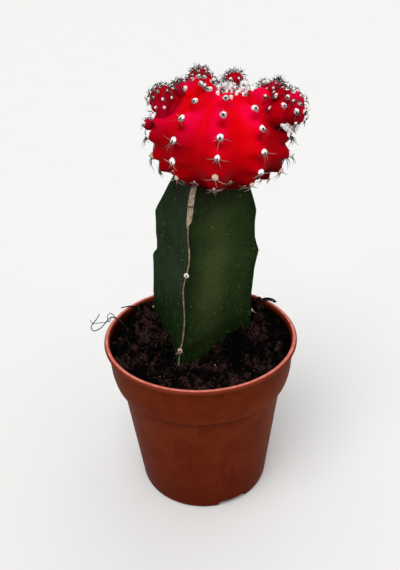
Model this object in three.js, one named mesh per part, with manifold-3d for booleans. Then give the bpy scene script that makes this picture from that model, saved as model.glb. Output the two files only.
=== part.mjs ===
// Potted moon cactus: a red ribbed globe grafted on a three-winged green stock, in a nursery pot.
// Millimetres, +Z up. The origin is the middle of the pot's underside, and the plant is seen from -Y.

import * as THREE from "three";
import { mergeVertices } from "three/addons/utils/BufferGeometryUtils.js";
import Module from "manifold-3d";

const wasm = await Module();
wasm.setup();

// Driving dimensions. Angles are in degrees, and azimuths turn from +X towards +Y.

const FIT_GAP = 0.3;

const POT = {
  sides: 48,
  height: 49.6,
  rimRadius: 27.5,
  beadRadius: 0.75,
  collarTop: [26.5, 47.6],
  collarWaist: [26.0, 40.2],
  collarFoot: [25.3, 37.2],
  stepHeight: 36.9,
  bodyTopRadius: 23.7,
  baseRadius: 19.4,
  baseRounding: 0.9,
  wall: 1.0,
  floor: 1.2,
};

const DRAIN = {
  azimuths: [-65, 55, 175],
  width: 27,
  height: 1.7,
  innerRadius: 13.8,
  sideWall: 3.4,
  endWall: 1,
  holeRadius: 1.5,
  holeAt: 16.3,
};

const SOIL = {
  sides: 44,
  level: 46,
  crumb: 0.38,
  mound: { x: -14, y: 17, height: 1.9, spread: 7 },
  dip: { x: 3.5, y: -8, height: -1.9, spread: 5 },
};

const STOCK = {
  bottom: 27,
  bottomScale: 0.6,
  taperFrom: 44,
  graftHeight: 94,
  rowHeight: 2.5,
  soilCentre: [-1.9, 4.2],
  leanPerMm: [0.1, 0.005],
  edgeHalfWidth: 0.55,
  scarHalfWidth: 0.85,
  scarRise: 2,
  edgeRound: 0.35,
  facePoints: 7,
};

const WING_AREOLE = { swell: 0.45, spread: 1.5 };

// Each wing has its margin as [height, reach from the stem's middle]. Above the scar height the margin was
// shaved off before grafting. A side leaves the margin towards the stem's middle, turned by an angle, for a
// depth, and the next wing's side meets it.
const WINGS = [
  {
    azimuth: -105,
    margin: [
      [46, 17.2], [51.7, 16.5], [57, 15.7], [67, 15.8], [74.3, 16.4], [78, 15.6], [88, 16], [91, 14.2],
      [94, 11.2],
    ],
    scar: 87,
    areoles: [51.7, 74.3],
    before: { turn: 15, depth: 8 },
    after: { turn: -32, depth: 6.5 },
  },
  {
    azimuth: 9.5,
    margin: [
      [46, 17], [52.3, 16.5], [57, 16.2], [66.8, 16], [72, 16.4], [76, 15.1], [80.3, 14.6], [84.1, 14.5],
      [88.4, 12.9], [94, 10.6],
    ],
    scar: 84,
    areoles: [52.3, 72],
    before: { turn: 5, depth: 6.2 },
    after: { turn: 0, depth: 7 },
  },
  {
    azimuth: 135,
    margin: [
      [46, 17.3], [56, 17.7], [61, 18.3], [66, 19], [67.4, 18.6], [68.8, 17.3], [72, 17.1], [77.4, 17.9],
      [80.7, 18.6], [89, 13.2], [94, 9.8],
    ],
    scar: 80.7,
    areoles: [48.6, 66],
    before: { turn: 0, depth: 7 },
    after: { turn: -22, depth: 6.5 },
  },
];

const GLOBE = {
  centre: [6.9, 5, 103.4],
  lean: [7.8, 2],
  sideRadius: 17.9,
  tipRadius: 14.2,
  ribs: 10,
  firstRib: -95.9,
  columnsPerRib: 4,
  rowsPerAreole: 4,
  highestAreole: 68,
  areoleSpacing: 19.6,
  lowestAreole: -37,
  lowestRow: -48,
  valley: 1.5,
  dip: 1.4,
  pad: 0.45,
  chinSpread: 6.5,
};

const OFFSET = {
  ribs: 8,
  smallRibs: 6,
  smallBelow: 2.9,
  firstRib: 0,
  columnsPerRib: 2,
  rowsPerAreole: 2,
  highestAreole: 66,
  areoleSpacing: 36,
  lowestAreole: -28,
  lowestRow: -50,
  valley: 0.55,
  dip: 0.35,
  pad: 0.25,
  chinSpread: 11,
};

// The offsets, by their place on the globe. The last two are at the back.
const OFFSET_PLACES = [
  { latitude: 34, azimuth: -172, radius: 3.4, lift: 0.8 },
  { latitude: 51, azimuth: -176, radius: 1.9, lift: 0 },
  { latitude: 63, azimuth: 150, radius: 2.8, lift: 1.2 },
  { latitude: 68, azimuth: 68, radius: 2.6, lift: 0.6 },
  { latitude: 43, azimuth: -18, radius: 5.3, lift: 1 },
  { latitude: 8, azimuth: -176, radius: 1.9, lift: -0.4 },
  { latitude: 38, azimuth: 106, radius: 3.6, lift: 0.8 },
  { latitude: 14, azimuth: 60, radius: 2.4, lift: 0 },
];

const SPINES = {
  globe: { count: 3, length: [3.2, 4.6], lean: 50, root: 0.26, bent: true },
  offset: { count: 1, length: [1.3, 1.9], lean: 24, root: 0.22, bent: false },
  crown: { count: 14, length: [1.5, 2.4], lean: 30, root: 0.24, bent: false, lowest: 72 },
  stock: { count: 3, length: [1.3, 2], lean: 50, root: 0.22, bent: false },
  sunk: 0.7,
  bend: 22,
  leanSpread: 14,
  overCut: 1,
  overGlobe: 0.2,
};

// Loose root fibres in the soil, each from where it is buried to its free end.
const FIBRES = [
  {
    root: 0.34,
    tip: 0.3,
    route: [
      [-20.2, 6.4, 44.6], [-21.9, 7, 47.2], [-23.9, 7.6, 49.6], [-25.5, 8.3, 50.4], [-27, 8.8, 49.9],
      [-28.5, 9.3, 48], [-30.2, 9.8, 45.9], [-32.3, 10.1, 44.7], [-33.4, 10.2, 45.7], [-32.7, 10.2, 47.2],
      [-31.4, 10.2, 48.6], [-30.2, 10.2, 50.6],
    ],
  },
  {
    root: 0.34,
    tip: 0.3,
    route: [
      [-18.2, 12, 45.2], [-19.7, 13, 47.6], [-21.1, 14.2, 49.6], [-22.3, 15.2, 50.4], [-23.5, 16.1, 50],
      [-24.5, 16.8, 48.8],
    ],
  },
  {
    root: 0.36,
    tip: 0.32,
    route: [
      [15.2, 13.2, 45.2], [16.6, 14.6, 47.6], [18, 15.8, 49.5], [19.6, 16.5, 50.3], [20.9, 16.6, 50.5],
      [22, 16.3, 50.5], [22.9, 15.9, 50.3], [23.7, 15.5, 49.7],
    ],
  },
];
const FIBRE_SIDES = 4;
const FIBRE_STEP = 1.3;

const RANDOM_SEED = 20933;

// Helpers

const rad = THREE.MathUtils.degToRad;

const WORLD_UP = new THREE.Vector3(0, 0, 1);

// A repeatable stream of numbers from 0 to 1.
function randomStream(seed) {
  let state = seed;
  return () => {
    state = (state + 0x6d2b79f5) | 0;
    let mixed = Math.imul(state ^ (state >>> 15), 1 | state);
    mixed = (mixed + Math.imul(mixed ^ (mixed >>> 7), 61 | mixed)) ^ mixed;
    return ((mixed ^ (mixed >>> 14)) >>> 0) / 4294967296;
  };
}

const random = randomStream(RANDOM_SEED);
const randomIn = ([low, high]) => low + (high - low) * random();

// The value at a place on a line through [place, value] pairs.
function along(pairs, place) {
  let last = pairs[0];
  for (const pair of pairs) {
    if (place < pair[0]) {
      const share = (place - last[0]) / Math.max(pair[0] - last[0], 1e-9);
      return last[1] + (pair[1] - last[1]) * THREE.MathUtils.clamp(share, 0, 1);
    }
    last = pair;
  }
  return last[1];
}

// Points [radius, height] on an arc of a profile, from one angle to another.
function arcPoints(centreRadius, centreHeight, radius, from, to, steps) {
  return Array.from({ length: steps + 1 }, (_, i) => {
    const angle = rad(from + ((to - from) * i) / steps);
    return [centreRadius + radius * Math.cos(angle), centreHeight + radius * Math.sin(angle)];
  });
}

function solidFrom(geometry) {
  const bare = geometry.clone();
  bare.deleteAttribute("normal");
  bare.deleteAttribute("uv");
  const merged = mergeVertices(bare, 1e-4);
  const solid = new wasm.Mesh({
    numProp: 3,
    vertProperties: new Float32Array(merged.attributes.position.array),
    triVerts: new Uint32Array(merged.index.array),
  });
  return new wasm.Manifold(solid);
}

function geometryFrom(solid) {
  const { vertProperties, triVerts } = solid.getMesh();
  const geometry = new THREE.BufferGeometry();
  geometry.setAttribute("position", new THREE.BufferAttribute(vertProperties, 3));
  geometry.setIndex(new THREE.BufferAttribute(triVerts, 1));
  geometry.computeVertexNormals();
  return geometry;
}

function namedMesh(name, solid, color, roughness) {
  const material = new THREE.MeshStandardMaterial({ color, roughness, metalness: 0, flatShading: true });
  const mesh = new THREE.Mesh(geometryFrom(solid), material);
  mesh.name = name;
  return mesh;
}

// Joins solids two by two, which keeps each step small.
function fuse(solids) {
  let rest = solids;
  while (rest.length > 1) {
    const joined = [];
    for (let i = 0; i < rest.length; i += 2) {
      joined.push(i + 1 < rest.length ? rest[i].add(rest[i + 1]) : rest[i]);
    }
    rest = joined;
  }
  return rest[0];
}

// A closed surface of rings from a lower pole to an upper pole. pointAt(row, column) gives each point.
function ringSolid(rows, columns, pointAt) {
  const points = [];
  const triangles = [];
  const bottom = points.push(pointAt(0, 0)) - 1;
  for (let row = 1; row < rows; row++) {
    for (let column = 0; column < columns; column++) points.push(pointAt(row, column));
  }
  const top = points.push(pointAt(rows, 0)) - 1;
  const at = (row, column) => 1 + (row - 1) * columns + (column % columns);
  for (let column = 0; column < columns; column++) {
    triangles.push(bottom, at(1, column + 1), at(1, column));
    for (let row = 1; row < rows - 1; row++) {
      const [a, b] = [at(row, column), at(row, column + 1)];
      const [c, d] = [at(row + 1, column + 1), at(row + 1, column)];
      triangles.push(a, b, c, a, c, d);
    }
    triangles.push(top, at(rows - 1, column), at(rows - 1, column + 1));
  }
  const mesh = new wasm.Mesh({
    numProp: 3,
    vertProperties: new Float32Array(points.flatMap((p) => [p.x, p.y, p.z])),
    triVerts: new Uint32Array(triangles),
  });
  return new wasm.Manifold(mesh);
}

function latheSolid(profile, sides) {
  const points = profile.map(([radius, height]) => new THREE.Vector2(radius, height));
  const geometry = new THREE.LatheGeometry(points, sides);
  geometry.rotateX(Math.PI / 2);
  return solidFrom(geometry);
}

// A block of a ring, centred on an azimuth.
function sectorSolid(innerRadius, outerRadius, azimuth, width, low, high) {
  const [from, to] = [rad(azimuth - width / 2), rad(azimuth + width / 2)];
  const shape = new THREE.Shape();
  shape.absarc(0, 0, outerRadius, from, to, false);
  shape.absarc(0, 0, innerRadius, to, from, true);
  shape.closePath();
  const depth = high - low;
  const geometry = new THREE.ExtrudeGeometry(shape, { depth, bevelEnabled: false, curveSegments: 8 });
  geometry.translate(0, 0, low);
  return solidFrom(geometry);
}

// A slim three-sided spine from a root on a surface. It leans from the direction out and bends further on.
function spineSolid(place, out, side, length, lean, style) {
  const turn = (angle) =>
    out.clone().multiplyScalar(Math.cos(rad(angle))).addScaledVector(side, Math.sin(rad(angle)));
  const start = place.clone().addScaledVector(out, -SPINES.sunk);
  const bendAt = place.clone().addScaledVector(turn(lean), length * 0.5);
  const tip = bendAt.clone().addScaledVector(turn(style.bent ? lean + SPINES.bend : lean), length * 0.5);
  const across = new THREE.Vector3().crossVectors(out, side).normalize();
  const ringAt = (middle, direction, radius) => {
    const other = new THREE.Vector3().crossVectors(direction, across).normalize();
    return [0, 1, 2].map((corner) => {
      const angle = (corner * 2 * Math.PI) / 3;
      return middle.clone().addScaledVector(across, radius * Math.cos(angle))
        .addScaledVector(other, radius * Math.sin(angle));
    });
  };
  const rings = [ringAt(start, out, style.root)];
  if (style.bent) rings.push(ringAt(bendAt, turn(lean + SPINES.bend / 2), style.root * 0.75));
  const pointAt = (row, column) => {
    if (row === 0) return start;
    return row > rings.length ? tip : rings[row - 1][column];
  };
  return ringSolid(rings.length + 1, 3, pointAt);
}

// The directions right, forward and out of a bud or of a place on it.
function frameAlong(axis) {
  const right = new THREE.Vector3(0, 1, 0).cross(axis).normalize();
  const forward = new THREE.Vector3().crossVectors(axis, right);
  return { right, forward, axis };
}

function inFrame(frame, x, y, z) {
  return new THREE.Vector3()
    .addScaledVector(frame.right, x)
    .addScaledVector(frame.forward, y)
    .addScaledVector(frame.axis, z);
}

// Spines round one areole, spread evenly with a little chance in each.
function areoleSpines(areole, style) {
  const { right, forward } = frameAlong(areole.out);
  const first = random() * 360;
  return Array.from({ length: style.count }, (_, i) => {
    const angle = rad(first + ((i + 0.5 * random()) * 360) / style.count);
    const side = right.clone().multiplyScalar(Math.cos(angle)).addScaledVector(forward, Math.sin(angle));
    const lean = style.lean + SPINES.leanSpread * (random() - 0.5);
    return spineSolid(areole.place, areole.out, side, randomIn(style.length), lean, style);
  });
}

// Pot

const innerWall = [
  [POT.floor, POT.baseRadius - POT.wall - POT.baseRounding],
  [POT.floor + POT.baseRounding, POT.baseRadius - POT.wall + 0.1],
  [POT.stepHeight + POT.wall - 0.4, POT.bodyTopRadius - POT.wall],
  [POT.collarFoot[1] + POT.wall, POT.collarFoot[0] - POT.wall],
  [POT.collarWaist[1], POT.collarWaist[0] - POT.wall],
  [POT.collarTop[1], POT.collarTop[0] - POT.wall],
];

function buildPot() {
  const beadRadius = POT.rimRadius - POT.beadRadius;
  const beadHeight = POT.height - POT.beadRadius;
  const base = POT.baseRadius - POT.baseRounding;
  const outside = [
    [0, 0],
    ...arcPoints(base, POT.baseRounding, POT.baseRounding, -90, -6, 2),
    [POT.bodyTopRadius, POT.stepHeight],
    [POT.collarFoot[0] - 0.3, POT.stepHeight],
    POT.collarFoot,
    POT.collarWaist,
    [POT.collarTop[0], POT.collarTop[1] + 0.3],
    ...arcPoints(beadRadius, beadHeight, POT.beadRadius, -62, 180, 5),
  ];
  const inside = innerWall.map(([height, radius]) => [radius, height]).reverse();
  const shell = latheSolid([...outside, ...inside, [0, POT.floor]], POT.sides);

  const blocks = DRAIN.azimuths.map((azimuth) => {
    const top = DRAIN.height + POT.floor;
    return sectorSolid(
      DRAIN.innerRadius - DRAIN.endWall, base, azimuth, DRAIN.width + 2 * DRAIN.sideWall, POT.floor / 2, top,
    );
  });
  const pockets = DRAIN.azimuths.map((azimuth) =>
    sectorSolid(DRAIN.innerRadius, POT.rimRadius, azimuth, DRAIN.width, -1, DRAIN.height),
  );
  const holes = DRAIN.azimuths.map((azimuth) => {
    const hole = new THREE.CylinderGeometry(DRAIN.holeRadius, DRAIN.holeRadius, 4 * DRAIN.height, 12);
    hole.rotateX(Math.PI / 2);
    hole.translate(DRAIN.holeAt, 0, DRAIN.height);
    hole.rotateZ(rad(azimuth));
    return solidFrom(hole);
  });
  return fuse([shell, ...blocks]).subtract(fuse([...pockets, ...holes]));
}

// Rootstock

function stemCentre(height) {
  const rise = height - SOIL.level;
  return [STOCK.soilCentre[0] + STOCK.leanPerMm[0] * rise, STOCK.soilCentre[1] + STOCK.leanPerMm[1] * rise];
}

// Below the soil the stock narrows to a blunt foot.
function footScale(height) {
  if (height >= STOCK.taperFrom) return 1;
  const share = (height - STOCK.bottom) / (STOCK.taperFrom - STOCK.bottom);
  return STOCK.bottomScale + (1 - STOCK.bottomScale) * Math.sqrt(Math.max(share, 0));
}

// One level outline of the stock, as points [x, y]: three wing edges with hollow faces between them.
function stockSection(height, clearance) {
  const [centreX, centreY] = stemCentre(height);
  const scale = footScale(height);
  const wings = WINGS.map((wing) => {
    const swell = wing.areoles.reduce(
      (sum, at) => sum + WING_AREOLE.swell * Math.exp(-(((height - at) / WING_AREOLE.spread) ** 2)),
      0,
    );
    const reach = scale * (along(wing.margin, height) + swell) + clearance;
    const scarred = THREE.MathUtils.clamp((height - wing.scar) / STOCK.scarRise, 0, 1);
    const halfWidth = THREE.MathUtils.lerp(STOCK.edgeHalfWidth, STOCK.scarHalfWidth, scarred) + clearance;
    const direction = new THREE.Vector2(Math.cos(rad(wing.azimuth)), Math.sin(rad(wing.azimuth)));
    return { ...wing, reach, halfWidth, direction, across: new THREE.Vector2(-direction.y, direction.x) };
  });
  const place = (wing, reach, side) =>
    new THREE.Vector2(centreX, centreY)
      .addScaledVector(wing.direction, reach)
      .addScaledVector(wing.across, side);
  const handle = (wing, from, { turn, depth }) => {
    const inward = wing.direction.clone().negate().rotateAround(new THREE.Vector2(), rad(turn));
    return from.clone().addScaledVector(inward, depth * scale);
  };
  const outline = [];
  wings.forEach((wing, i) => {
    const next = wings[(i + 1) % wings.length];
    const start = place(wing, wing.reach - STOCK.edgeRound, wing.halfWidth);
    const end = place(next, next.reach - STOCK.edgeRound, -next.halfWidth);
    const [leaving, meeting] = [handle(wing, start, wing.after), handle(next, end, next.before)];
    const face = new THREE.CubicBezierCurve(start, leaving, meeting, end);
    outline.push(place(wing, wing.reach, 0), ...face.getPoints(STOCK.facePoints));
  });
  return outline;
}

function stockBody(bottom, top, clearance) {
  const rows = Math.round((top - bottom) / STOCK.rowHeight);
  const heightAt = (row) => bottom + ((top - bottom) * row) / rows;
  const sections = Array.from({ length: rows + 1 }, (_, row) => stockSection(heightAt(row), clearance));
  const columns = sections[0].length;
  const pointAt = (row, column) => {
    if (row === 0 || row === rows + 2) {
      const height = row === 0 ? bottom : top;
      const [x, y] = stemCentre(height);
      return new THREE.Vector3(x, y, height);
    }
    const { x, y } = sections[row - 1][column];
    return new THREE.Vector3(x, y, heightAt(row - 1));
  };
  return ringSolid(rows + 2, columns, pointAt);
}

function stockAreoles() {
  return WINGS.flatMap((wing) =>
    wing.areoles.map((height) => {
      const [x, y] = stemCentre(height);
      const reach = along(wing.margin, height) + 0.3;
      const out = new THREE.Vector3(Math.cos(rad(wing.azimuth)), Math.sin(rad(wing.azimuth)), 0);
      return { place: new THREE.Vector3(x, y, height).addScaledVector(out, reach), out };
    }),
  );
}

function buildStock() {
  const body = stockBody(STOCK.bottom, STOCK.graftHeight, 0);
  return fuse([body, ...stockAreoles().flatMap((areole) => areoleSpines(areole, SPINES.stock))]);
}

// Soil

function soilHeight(x, y) {
  const swell = (form) =>
    form.height * Math.exp(-((x - form.x) ** 2 + (y - form.y) ** 2) / form.spread ** 2);
  const crumbs =
    Math.sin(1.31 * x + 2.1 * y) + Math.sin(2.3 * x - 1.07 * y + 1) + Math.sin(0.7 * x + 0.53 * y + 2) * 0.8;
  return SOIL.level + swell(SOIL.mound) + swell(SOIL.dip) + SOIL.crumb * crumbs;
}

function strandSolid(fibre) {
  const curve = new THREE.CatmullRomCurve3(fibre.route.map((point) => new THREE.Vector3(...point)));
  const steps = Math.round(curve.getLength() / FIBRE_STEP);
  const frames = curve.computeFrenetFrames(steps);
  const pointAt = (row, column) => {
    const step = THREE.MathUtils.clamp(row - 1, 0, steps);
    const middle = curve.getPointAt(step / steps);
    if (row === 0 || row === steps + 2) return middle;
    const radius = THREE.MathUtils.lerp(fibre.root, fibre.tip, step / steps);
    const angle = (column * 2 * Math.PI) / FIBRE_SIDES;
    return middle
      .addScaledVector(frames.normals[step], radius * Math.cos(angle))
      .addScaledVector(frames.binormals[step], radius * Math.sin(angle));
  };
  return ringSolid(steps + 2, FIBRE_SIDES, pointAt);
}

function buildSoil() {
  const below = innerWall.map(([height, radius]) => [height, radius - FIT_GAP]);
  const lower = [
    [POT.floor + FIT_GAP, below[0][1] - FIT_GAP],
    [below[1][0] + FIT_GAP, below[1][1]],
    [below[2][0] + FIT_GAP, below[2][1]],
    [below[3][0] + FIT_GAP, below[3][1]],
    [below[4][0], below[4][1]],
  ];
  const shares = [1, 0.93, 0.82, 0.7, 0.57, 0.42, 0.24];
  const rows = 1 + lower.length + shares.length;
  const pointAt = (row, column) => {
    if (row === 0) return new THREE.Vector3(0, 0, POT.floor + FIT_GAP);
    if (row === rows) return new THREE.Vector3(0, 0, soilHeight(0, 0));
    const angle = (column * 2 * Math.PI) / SOIL.sides;
    const on = (radius, height) =>
      new THREE.Vector3(radius * Math.cos(angle), radius * Math.sin(angle), height);
    if (row <= lower.length) return on(lower[row - 1][1], lower[row - 1][0]);
    const edge = along(below, SOIL.level);
    const radius = edge * shares[row - 1 - lower.length];
    return on(radius, soilHeight(radius * Math.cos(angle), radius * Math.sin(angle)));
  };
  const fill = ringSolid(rows, SOIL.sides, pointAt);
  const room = stockBody(STOCK.bottom - FIT_GAP, SOIL.level + 6, FIT_GAP + 0.06);
  const drains = DRAIN.azimuths.map((azimuth) => {
    const width = DRAIN.width + 2 * DRAIN.sideWall + 3;
    const inner = DRAIN.innerRadius - DRAIN.endWall - FIT_GAP;
    return sectorSolid(inner, POT.rimRadius, azimuth, width, -1, DRAIN.height + POT.floor + FIT_GAP);
  });
  return fuse([fill, ...FIBRES.map(strandSolid)]).subtract(fuse([room, ...drains]));
}

// Scion

const globeFrame = (() => {
  const [x, y] = GLOBE.lean.map((lean) => Math.sin(rad(lean)));
  return frameAlong(new THREE.Vector3(x, y, Math.sqrt(1 - x * x - y * y)));
})();

// A ribbed bud, which is the globe or one of its offsets: its solid, and its areoles with their directions.
function ribbedBud(style, centre, frame, sideRadius, tipRadius) {
  const rowStep = style.areoleSpacing / style.rowsPerAreole;
  const rowsAbove = Math.floor((88 - style.highestAreole) / rowStep);
  const rowsBelow = Math.floor((style.highestAreole - style.lowestRow) / rowStep);
  const rows = rowsAbove + rowsBelow + 2;
  const columns = style.ribs * style.columnsPerRib;
  const latitudeOf = (row) => style.highestAreole - (rowsBelow - row + 1) * rowStep;
  const azimuthOf = (column) => style.firstRib + (column * 360) / columns;
  const shiftOf = (rib) => (rib % 2 ? 0 : style.areoleSpacing / 2);

  const latitudesOn = (rib) => {
    const latitudes = [];
    const highest = style.highestAreole - shiftOf(rib);
    for (let at = highest; at > style.lowestAreole; at -= style.areoleSpacing) latitudes.push(at);
    return latitudes;
  };
  const surface = (latitude, azimuth, out) => {
    const [phi, theta] = [rad(latitude), rad(azimuth)];
    return centre.clone().add(inFrame(
      frame,
      (sideRadius + out) * Math.cos(phi) * Math.cos(theta),
      (sideRadius + out) * Math.cos(phi) * Math.sin(theta),
      (tipRadius + out) * Math.sin(phi),
    ));
  };
  const normalAt = (latitude, azimuth) => {
    const [phi, theta] = [rad(latitude), rad(azimuth)];
    const flat = Math.cos(phi) / sideRadius;
    const steep = Math.sin(phi) / tipRadius;
    return inFrame(frame, flat * Math.cos(theta), flat * Math.sin(theta), steep).normalize();
  };
  // How far the skin lies inside the areoles' own round form.
  const relief = (latitude, column) => {
    const fade = Math.sqrt(Math.max(Math.cos(rad(latitude)), 0));
    const rib = Math.round(column / style.columnsPerRib) % style.ribs;
    const fromRib = Math.abs(((column / style.columnsPerRib + 0.5) % 1) - 0.5) * 2;
    const chin = latitudesOn(rib).reduce(
      (most, at) => Math.max(most, Math.exp(-(((latitude - at + 1.5) / style.chinSpread) ** 2))),
      0,
    );
    const round = 1 - Math.sqrt(Math.max(1 - fromRib * fromRib, 0));
    return -fade * (style.valley * (0.35 * fromRib + 0.65 * round) + style.dip * (1 - chin * (1 - fromRib)));
  };
  const isAreole = (latitude, column) =>
    column % style.columnsPerRib === 0 &&
    latitudesOn(column / style.columnsPerRib).some((at) => Math.abs(at - latitude) < 0.01);

  const pointAt = (row, column) => {
    if (row === 0) return surface(-90, 0, -style.valley - tipRadius / 2);
    if (row === rows) return surface(90, 0, -style.dip);
    const latitude = latitudeOf(row);
    const pad = isAreole(latitude, column) ? style.pad : 0;
    return surface(latitude, azimuthOf(column), relief(latitude, column) + pad);
  };
  const areoles = [];
  for (let rib = 0; rib < style.ribs; rib++) {
    const azimuth = azimuthOf(rib * style.columnsPerRib);
    for (const latitude of latitudesOn(rib)) {
      areoles.push({ place: surface(latitude, azimuth, 0), out: normalAt(latitude, azimuth) });
    }
  }
  return { solid: ringSolid(rows, columns, pointAt), areoles, surface, normalAt };
}

function crownSpines(globe) {
  const style = SPINES.crown;
  return Array.from({ length: style.count }, (_, i) => {
    const latitude = style.lowest + (88 - style.lowest) * Math.sqrt(random());
    const azimuth = (i * 360) / style.count + 20 * random();
    const place = globe.surface(latitude, azimuth, -GLOBE.dip);
    return areoleSpines({ place, out: globe.normalAt(latitude, azimuth) }, { ...style, count: 1 })[0];
  });
}

function buildScion() {
  const globe = ribbedBud(
    GLOBE, new THREE.Vector3(...GLOBE.centre), globeFrame, GLOBE.sideRadius, GLOBE.tipRadius,
  );
  const offsets = OFFSET_PLACES.map(({ latitude, azimuth, radius, lift }) => {
    const out = globe.normalAt(latitude, azimuth);
    const axis = out.clone().addScaledVector(WORLD_UP, 0.3).normalize();
    const place = globe.surface(latitude, azimuth, lift);
    const scale = radius / OFFSET_PLACES[0].radius;
    const ribs = radius < OFFSET.smallBelow ? OFFSET.smallRibs : OFFSET.ribs;
    const style = { ...OFFSET, ribs, valley: OFFSET.valley * scale, dip: OFFSET.dip * scale };
    return { ...ribbedBud(style, place, frameAlong(axis), radius, radius * 1.05), place, radius };
  });
  const isFree = ({ place }, bud) =>
    place.z > STOCK.graftHeight + SPINES.overCut &&
    offsets.every((offset) => offset === bud || place.distanceTo(offset.place) > offset.radius * 0.95) &&
    (bud === globe || globeDepth(place) > SPINES.overGlobe);
  const spinesOn = (bud, style) =>
    bud.areoles.filter((areole) => isFree(areole, bud)).flatMap((areole) => areoleSpines(areole, style));
  const spines = [
    ...spinesOn(globe, SPINES.globe),
    ...crownSpines(globe),
    ...offsets.flatMap((offset) => spinesOn(offset, SPINES.offset)),
  ];
  const below = new THREE.BoxGeometry(80, 80, 40);
  below.translate(0, 0, STOCK.graftHeight - 20);
  const buds = fuse([globe.solid, ...offsets.map((offset) => offset.solid)]).subtract(solidFrom(below));
  return fuse([buds, ...spines]);
}

// How far a point stands out of the globe's round form, in millimetres.
function globeDepth(point) {
  const from = point.clone().sub(new THREE.Vector3(...GLOBE.centre));
  const flat = Math.hypot(from.dot(globeFrame.right), from.dot(globeFrame.forward)) / GLOBE.sideRadius;
  return (Math.hypot(flat, from.dot(globeFrame.axis) / GLOBE.tipRadius) - 1) * GLOBE.sideRadius;
}

const cactus = new THREE.Group();
cactus.add(
  namedMesh("pot", buildPot(), 0x8f3a22, 0.55),
  namedMesh("soil", buildSoil(), 0x2a1a16, 0.95),
  namedMesh("rootstock", buildStock(), 0x24401f, 0.6),
  namedMesh("scion", buildScion(), 0xd6101c, 0.5),
);

export default cactus;
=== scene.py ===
import math
import random
from functools import cache

import bmesh
import bpy
from mathutils import Matrix, Vector, noise
from mathutils.kdtree import KDTree


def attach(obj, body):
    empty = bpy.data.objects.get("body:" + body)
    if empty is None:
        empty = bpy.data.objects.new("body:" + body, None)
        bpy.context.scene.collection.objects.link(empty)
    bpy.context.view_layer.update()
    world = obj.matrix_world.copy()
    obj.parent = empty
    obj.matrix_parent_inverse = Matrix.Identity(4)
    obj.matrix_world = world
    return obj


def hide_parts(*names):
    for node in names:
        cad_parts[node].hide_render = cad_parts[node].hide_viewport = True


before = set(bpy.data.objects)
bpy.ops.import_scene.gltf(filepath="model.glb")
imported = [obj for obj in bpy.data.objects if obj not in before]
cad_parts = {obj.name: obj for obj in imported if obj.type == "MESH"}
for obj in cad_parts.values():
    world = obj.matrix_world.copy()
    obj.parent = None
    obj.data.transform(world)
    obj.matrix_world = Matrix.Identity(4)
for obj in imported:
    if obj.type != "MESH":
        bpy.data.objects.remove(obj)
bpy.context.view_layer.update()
chance = random.Random(20933)

# Every length in the dictionaries is in millimetres. A piece is brought to metres when it is finished.
toMetres = Matrix.Scale(0.001, 4)
upward = Vector((0, 0, 1))


# Small sums

def along(pairs, place):  # the value at a place on the line through (place, value) pairs
    last = pairs[0]
    for pair in pairs:
        if place < pair[0]:
            share = (place - last[0]) / max(pair[0] - last[0], 1e-9)
            return last[1] + (pair[1] - last[1]) * min(max(share, 0), 1)
        last = pair
    return last[1]


def ease(value):  # 0 to 1 with soft ends
    value = min(max(value, 0), 1)
    return value * value * (3 - 2 * value)


def blend(first, second, share):
    return first + (second - first) * share


def bump(distance, spread):
    return math.exp(-((distance / spread) ** 2))


def polar(radius, azimuth, height=0.0):
    return Vector((radius * math.cos(azimuth), radius * math.sin(azimuth), height))


def turned(angle, axis="Z"):
    return Matrix.Rotation(angle, 3, axis)


def frameOn(out, up):  # right, up along the surface and out, as the columns of a turn
    right = up.cross(out).normalized()
    return Matrix((right, out.cross(right), out)).transposed()


def curveThrough(points, steps):  # a smooth line through points, with some steps between each two
    line = []
    for i in range(len(points) - 1):
        a, b, c, d = (Vector(points[min(max(i + k, 0), len(points) - 1)]) for k in (-1, 0, 1, 2))
        for step in range(steps):
            t = step / steps
            line.append(0.5 * (2 * b + (c - a) * t + (2 * a - 5 * b + 4 * c - d) * t * t
                               + (3 * b - a - 3 * c + d) * t * t * t))
    return line + [Vector(points[-1])]


# Work with objects

def deselectAll():
    if bpy.context.mode != "OBJECT":
        bpy.ops.object.mode_set(mode="OBJECT")
    bpy.ops.object.select_all(action="DESELECT")


def pick(*pieces):
    deselectAll()
    for piece in pieces:
        piece.select_set(True)
    bpy.context.view_layer.objects.active = pieces[0]


def added(name):  # the object that an operator has just added
    piece = bpy.context.object
    piece.name = piece.data.name = name
    return piece


def edit(piece):
    pick(piece)
    bpy.ops.object.mode_set(mode="EDIT")
    bpy.ops.mesh.select_all(action="SELECT")


def extrude(*way):
    bpy.ops.mesh.extrude_region_move(TRANSFORM_OT_translate={"value": way})


def closeUp(piece, gap=0.001):  # merges doubles and turns the faces outwards
    edit(piece)
    bpy.ops.mesh.remove_doubles(threshold=gap)
    bpy.ops.mesh.normals_make_consistent(inside=False)
    deselectAll()


def modify(piece, kind, **settings):
    modifier = piece.modifiers.new(kind.title(), kind)
    for name, value in settings.items():
        setattr(modifier, name, value)
    pick(piece)
    bpy.ops.object.modifier_apply(modifier=modifier.name)


def carve(piece, operation, cutters):
    for cutter in cutters:
        modify(piece, "BOOLEAN", operation=operation, solver="EXACT", object=cutter)
        bpy.data.objects.remove(cutter)


def joined(name, pieces):
    pick(*pieces)
    bpy.ops.object.join()
    return added(name)


def paint(piece, name, values):  # a number for each vertex, which a material reads
    layer = piece.data.attributes.new(name, "FLOAT", "POINT")
    layer.data.foreach_set("value", values)


def finished(piece, finish, node=None, sharpAt=180):
    piece.data.transform(toMetres)
    pick(piece)
    bpy.ops.object.shade_smooth_by_angle(angle=math.radians(sharpAt))
    piece.data.materials.clear()
    piece.data.materials.append(finish.material)
    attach(piece, "root")
    if node:
        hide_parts(node)


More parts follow.
